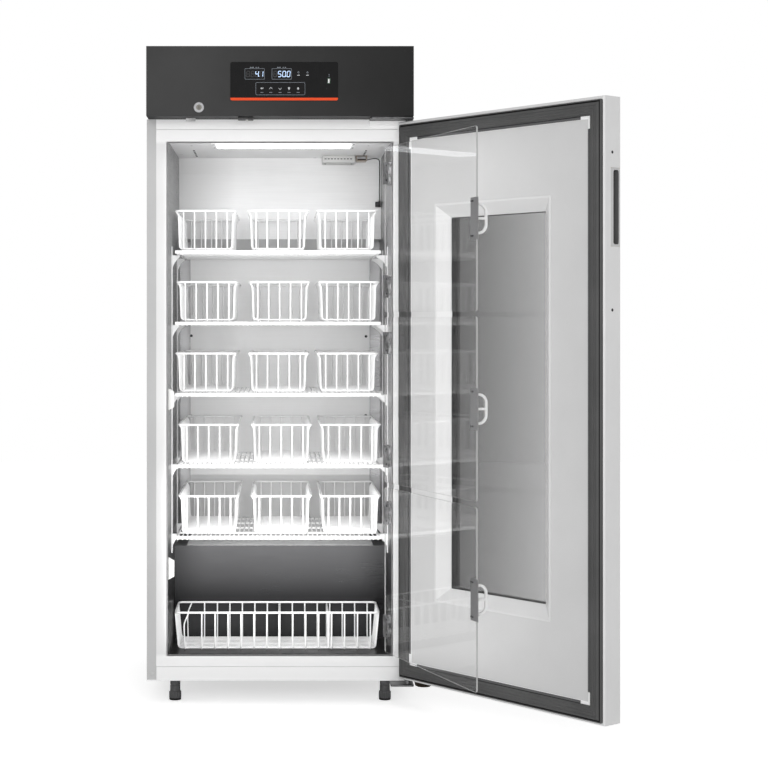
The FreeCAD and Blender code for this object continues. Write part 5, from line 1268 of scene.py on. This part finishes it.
panel = {"box": (-119.0, 139.0, 1460.0, 1552.0), "front": -72.0, "back": -70.0, "corner": 4.0,
        "lineTop": 1466.4, "lineMiddle": 10, "print": 0.06, "windowEdge": 1.1, "frameLine": 0.75,
        "glassY": (-71.85, -71.6), "glassGap": 0.25,
        "keyBox": (-58.5, 60.2, 1472.9, 1503.4), "keyZ": 1488.6, "keyX": (-43.4, -22.0, 0.0, 21.6, 43.4),
        "diamondX": (44.4, 65.9), "diamondZ": 1527.0, "diamond": 2.6, "diamondHole": 1.5,
        "dashes": ((11.5, 15.5), (16.5, 20.5), (25.0, 27.5), (30.0, 33.0)), "dashRise": (2.6, 4.6),
        "underline": (-3.4, 3.4, -10.2, -8.9), "caption": (-3.0, 3.0, -7.4, -5.8), "dashRound": 0.3,
    # the mark over the port: a stem, a point and a ball
        "markX": 117.5, "markZ": 1517.6,
        "mark": (((-0.35, 0), (0.35, 0), (0.35, 4.2), (-0.35, 4.2)), ((-1.2, 3.8), (1.2, 3.8), (0, 6.0)),
        circle(0, 0, 1.0, 12))}
# five generic touch symbols: back, up, down, lamp, bell
keyMarks = [
    [[(-3.6, 0.4), (-0.6, -2.6), (-0.6, -0.6), (3.2, -0.6), (3.2, 3.0), (2.0, 3.0), (2.0, 0.8), (-0.6, 0.8),
        (-0.6, 3.2)]],
        [[(-3.6, -1.6), (0, 2.0), (3.6, -1.6), (3.6, -0.1), (0, 3.5), (-3.6, -0.1)]],
        [[(-3.6, 1.6), (-3.6, 0.1), (0, -3.5), (3.6, 0.1), (3.6, 1.6), (0, -2.0)]],
        [circle(0, 1.0, 2.5, 20), [(-1.2, -3.2), (1.2, -3.2), (1.2, -1.9), (-1.2, -1.9)]],
        [[(-2.8, -2.0), (2.8, -2.0), (2.0, -0.8), (1.9, 1.4), (0.9, 2.9), (-0.9, 2.9), (-1.9, 1.4), (-2.0, -0.8)],
        circle(0, -2.9, 0.7, 12)]]


def makePanel(look):
    bm = bmesh.new()
    holes = [rectangle(*opening) for opening in windows] + [rectangle(*usb)]
    outline = roundRectangle(*look["box"], look["corner"], 6)
    addPart(bm, plate(outline, look["front"], look["back"], holes, soft=0.35))
    makePiece("controlPanel", bm, "cabinet", [panelBlack], ["control_panel"])

    x0, x1 = look["box"][:2]
    y0, y1 = look["front"] - look["print"], look["front"] + 0.02
    line = bmesh.new()
    top, middle = look["lineTop"], look["lineMiddle"]
    lower = [p for p in outline if p[1] < top]
    left = sorted([p for p in lower if p[0] < middle], key=lambda p: -p[1])
    right = sorted([p for p in lower if p[0] >= middle], key=lambda p: p[1])
    addPart(line, plate([(x0, top), *left, *right, (x1, top)], y0, y1, soft=0.02, segments=1))
    makePiece("panelOrangeLine", line, "cabinet", [orangeGlow])

    glass = bmesh.new()
    gap = look["glassGap"]
    for a, b, low, high in windows:
        sheet = rectangle(a + gap, b - gap, low + gap, high - gap)
        addPart(glass, plate(sheet, *look["glassY"], soft=0.05, segments=1))
    makePiece("displayGlass", glass, "cabinet", [windowBlack])

    prints = bmesh.new()

    def printed(outline, x, z, tone=1, holes=()):
        cuts = [[(x + u, z + v) for u, v in hole] for hole in holes]
        addPart(prints, plate([(x + u, z + v) for u, v in outline], y0, y1, cuts, soft=0.0), tone)

    edge, thick = look["windowEdge"], look["frameLine"]
    ring = [(0.0, y1), (0.0, y0), (thick, y0), (thick, y1)]
    for a, b, low, high in windows:
        addPart(prints, pictureFrame((a - edge, b + edge, low - edge, high + edge), ring, corner=1.6), 1)
    addPart(prints, pictureFrame(look["keyBox"], ring, corner=3.5), 1)
    for marks, x in zip(keyMarks, look["keyX"]):
        for outline in marks:
            printed(outline, x, look["keyZ"], 0)
        printed(roundRectangle(*look["underline"], look["dashRound"], 2), x, look["keyZ"])
    for x in look["diamondX"]:
        square, hole = ([(-r, 0), (0, -r), (r, 0), (0, r)] for r in (look["diamond"], look["diamondHole"]))
        printed(square, x, look["diamondZ"], 1, [hole])
        printed(roundRectangle(*look["caption"], look["dashRound"], 2), x, look["diamondZ"], 0)
    for a, _, _, high in windows:
        # a row of small dashes above each number
        for left, right in look["dashes"]:
            printed(roundRectangle(left, right, *look["dashRise"], look["dashRound"], 2), a, high)
    for outline in look["mark"]:
        printed(outline, look["markX"], look["markZ"])
    makePiece("panelPrints", prints, "cabinet", [printGrey, printDim])


makePanel(panel)

digits = {"height": 13.4, "width": 6.9, "stroke": 1.35, "pitch": 10.7, "lean": 0.09, "front": -71.9, "back": -71.84,
        "left": 3.0, "bottom": 5.2, "shown": ("  41", " 500"), "pointAfter": 2,
        "dotX": 1.7, "dotZ": 0.7, "dotRadius": 0.75, "segmentGap": 0.25}
segmentsOn = {"0": "abcdef", "1": "bc", "4": "fgbc", "5": "afgcd", " ": ""}


def makeDigits(look):
    lit, dim = bmesh.new(), bmesh.new()
    for (x0, _, z0, _), shown in zip(windows, look["shown"]):
        for place, number in enumerate(shown):
            x = x0 + look["left"] + look["pitch"] * place
            for letter in "abcdefg":
                part = segment(look, x, z0 + look["bottom"], letter)
                addPart(lit if letter in segmentsOn[number] else dim, part)
            dotX, dotZ = x + look["width"] + look["dotX"], z0 + look["bottom"] + look["dotZ"]
            dot = circle(dotX, dotZ, look["dotRadius"], 12)
            addPart(lit if place == look["pointAfter"] else dim, plate(dot, look["front"], look["back"], soft=0.0))
    makePiece("digitsLit", lit, "cabinet", [digitGlow])
    makePiece("digitsUnlit", dim, "cabinet", [digitDim])


def segment(look, x, z, letter):
    w, h, s = look["width"], look["height"], look["stroke"] / 2
    ends = {"a": ((0, h), (w, h)), "d": ((0, 0), (w, 0)), "g": ((0, h / 2), (w, h / 2)),
            "b": ((w, h / 2), (w, h)), "c": ((w, 0), (w, h / 2)), "e": ((0, 0), (0, h / 2)),
            "f": ((0, h / 2), (0, h))}[letter]
    (ax, az), (bx, bz) = ends
    along = Vector((bx - ax, bz - az)).normalized()
    side = Vector((-along.y, along.x))
    gap = along * look["segmentGap"]
    start, end = Vector((ax, az)) + gap, Vector((bx, bz)) - gap
    corners = [start, start + along * s - side * s, end - along * s - side * s, end, end - along * s + side * s,
            start + along * s + side * s]
    outline = [(x + c.x + look["lean"] * c.y, z + c.y) for c in corners]
    return plate(outline, look["front"], look["back"], soft=0.0)


makeDigits(digits)

port = {"x": (115.2, 118.8), "y": (-69.5, -58.0), "z": (1502.0, 1512.0)}
tongue = bmesh.new()
addPart(tongue, block(port["x"], port["y"], port["z"], soft=0.3))
makePiece("usbTongue", tongue, "cabinet", [frameWhite])

softenedCopy("lockBarrel", "lock_barrel", "cabinet", [lockChrome], 0.3, 2, 50)
softenedCopy("lockPlug", "lock_plug", "plug_body", [plugBrass], 0.2, 2, 50)
softenedCopy("lockBolt", "lock_bolt", "bolt_body", [boltWhite], 0.6)
softenedCopy("doorSwitch", "door_switch", "cabinet", [blackPlastic], 0.7, 3)
softenedCopy("switchPin", "switch_plunger", "plunger_body", [catchWhite], 0.3)
print("housing and controls made")


# feet

foot = {"places": [(x, y) for x in (-258.0, 258.0) for y in (40.0, 560.0)], "collar": 15.0,
        "flutes": 20, "fluteDepth": 0.9, "collarZ": (5.0, 20.5),
        "sole": ((0, 0), (13.6, 0), (14.6, 0.9), (14.6, 4.2), (13.4, 5.2), (0, 5.2)),
        "stem": ((0, 20.0), (13.2, 20.0), (13.6, 21.5), (12.5, 23.0), (12.5, 36.0), (11.7, 36.6), (11.7, 37.8),
        (12.5, 38.4), (12.5, 54.0), (0, 54.0))}


def makeFeet(look):
    bm = bmesh.new()
    count = look["flutes"] * 4
    for x, y in look["places"]:
        outline = []
        for n in range(count):
            r = look["collar"] - (look["fluteDepth"] if n % 4 in (2, 3) else 0)
            a = math.tau * n / count
            outline.append((x + r * math.cos(a), y + r * math.sin(a)))
        addPart(bm, flat(outline, *look["collarZ"], soft=0.5))
        spot = Matrix.Translation((x, y, 0))
        addPart(bm, turned(look["sole"], 40), 1, spot)
        addPart(bm, turned(look["stem"], 36), 0, spot)
    makePiece("levellingFeet", bm, "cabinet", [footBlack, blackRubberAndShade], ["levelling_feet"])


makeFeet(foot)
print("feet made")
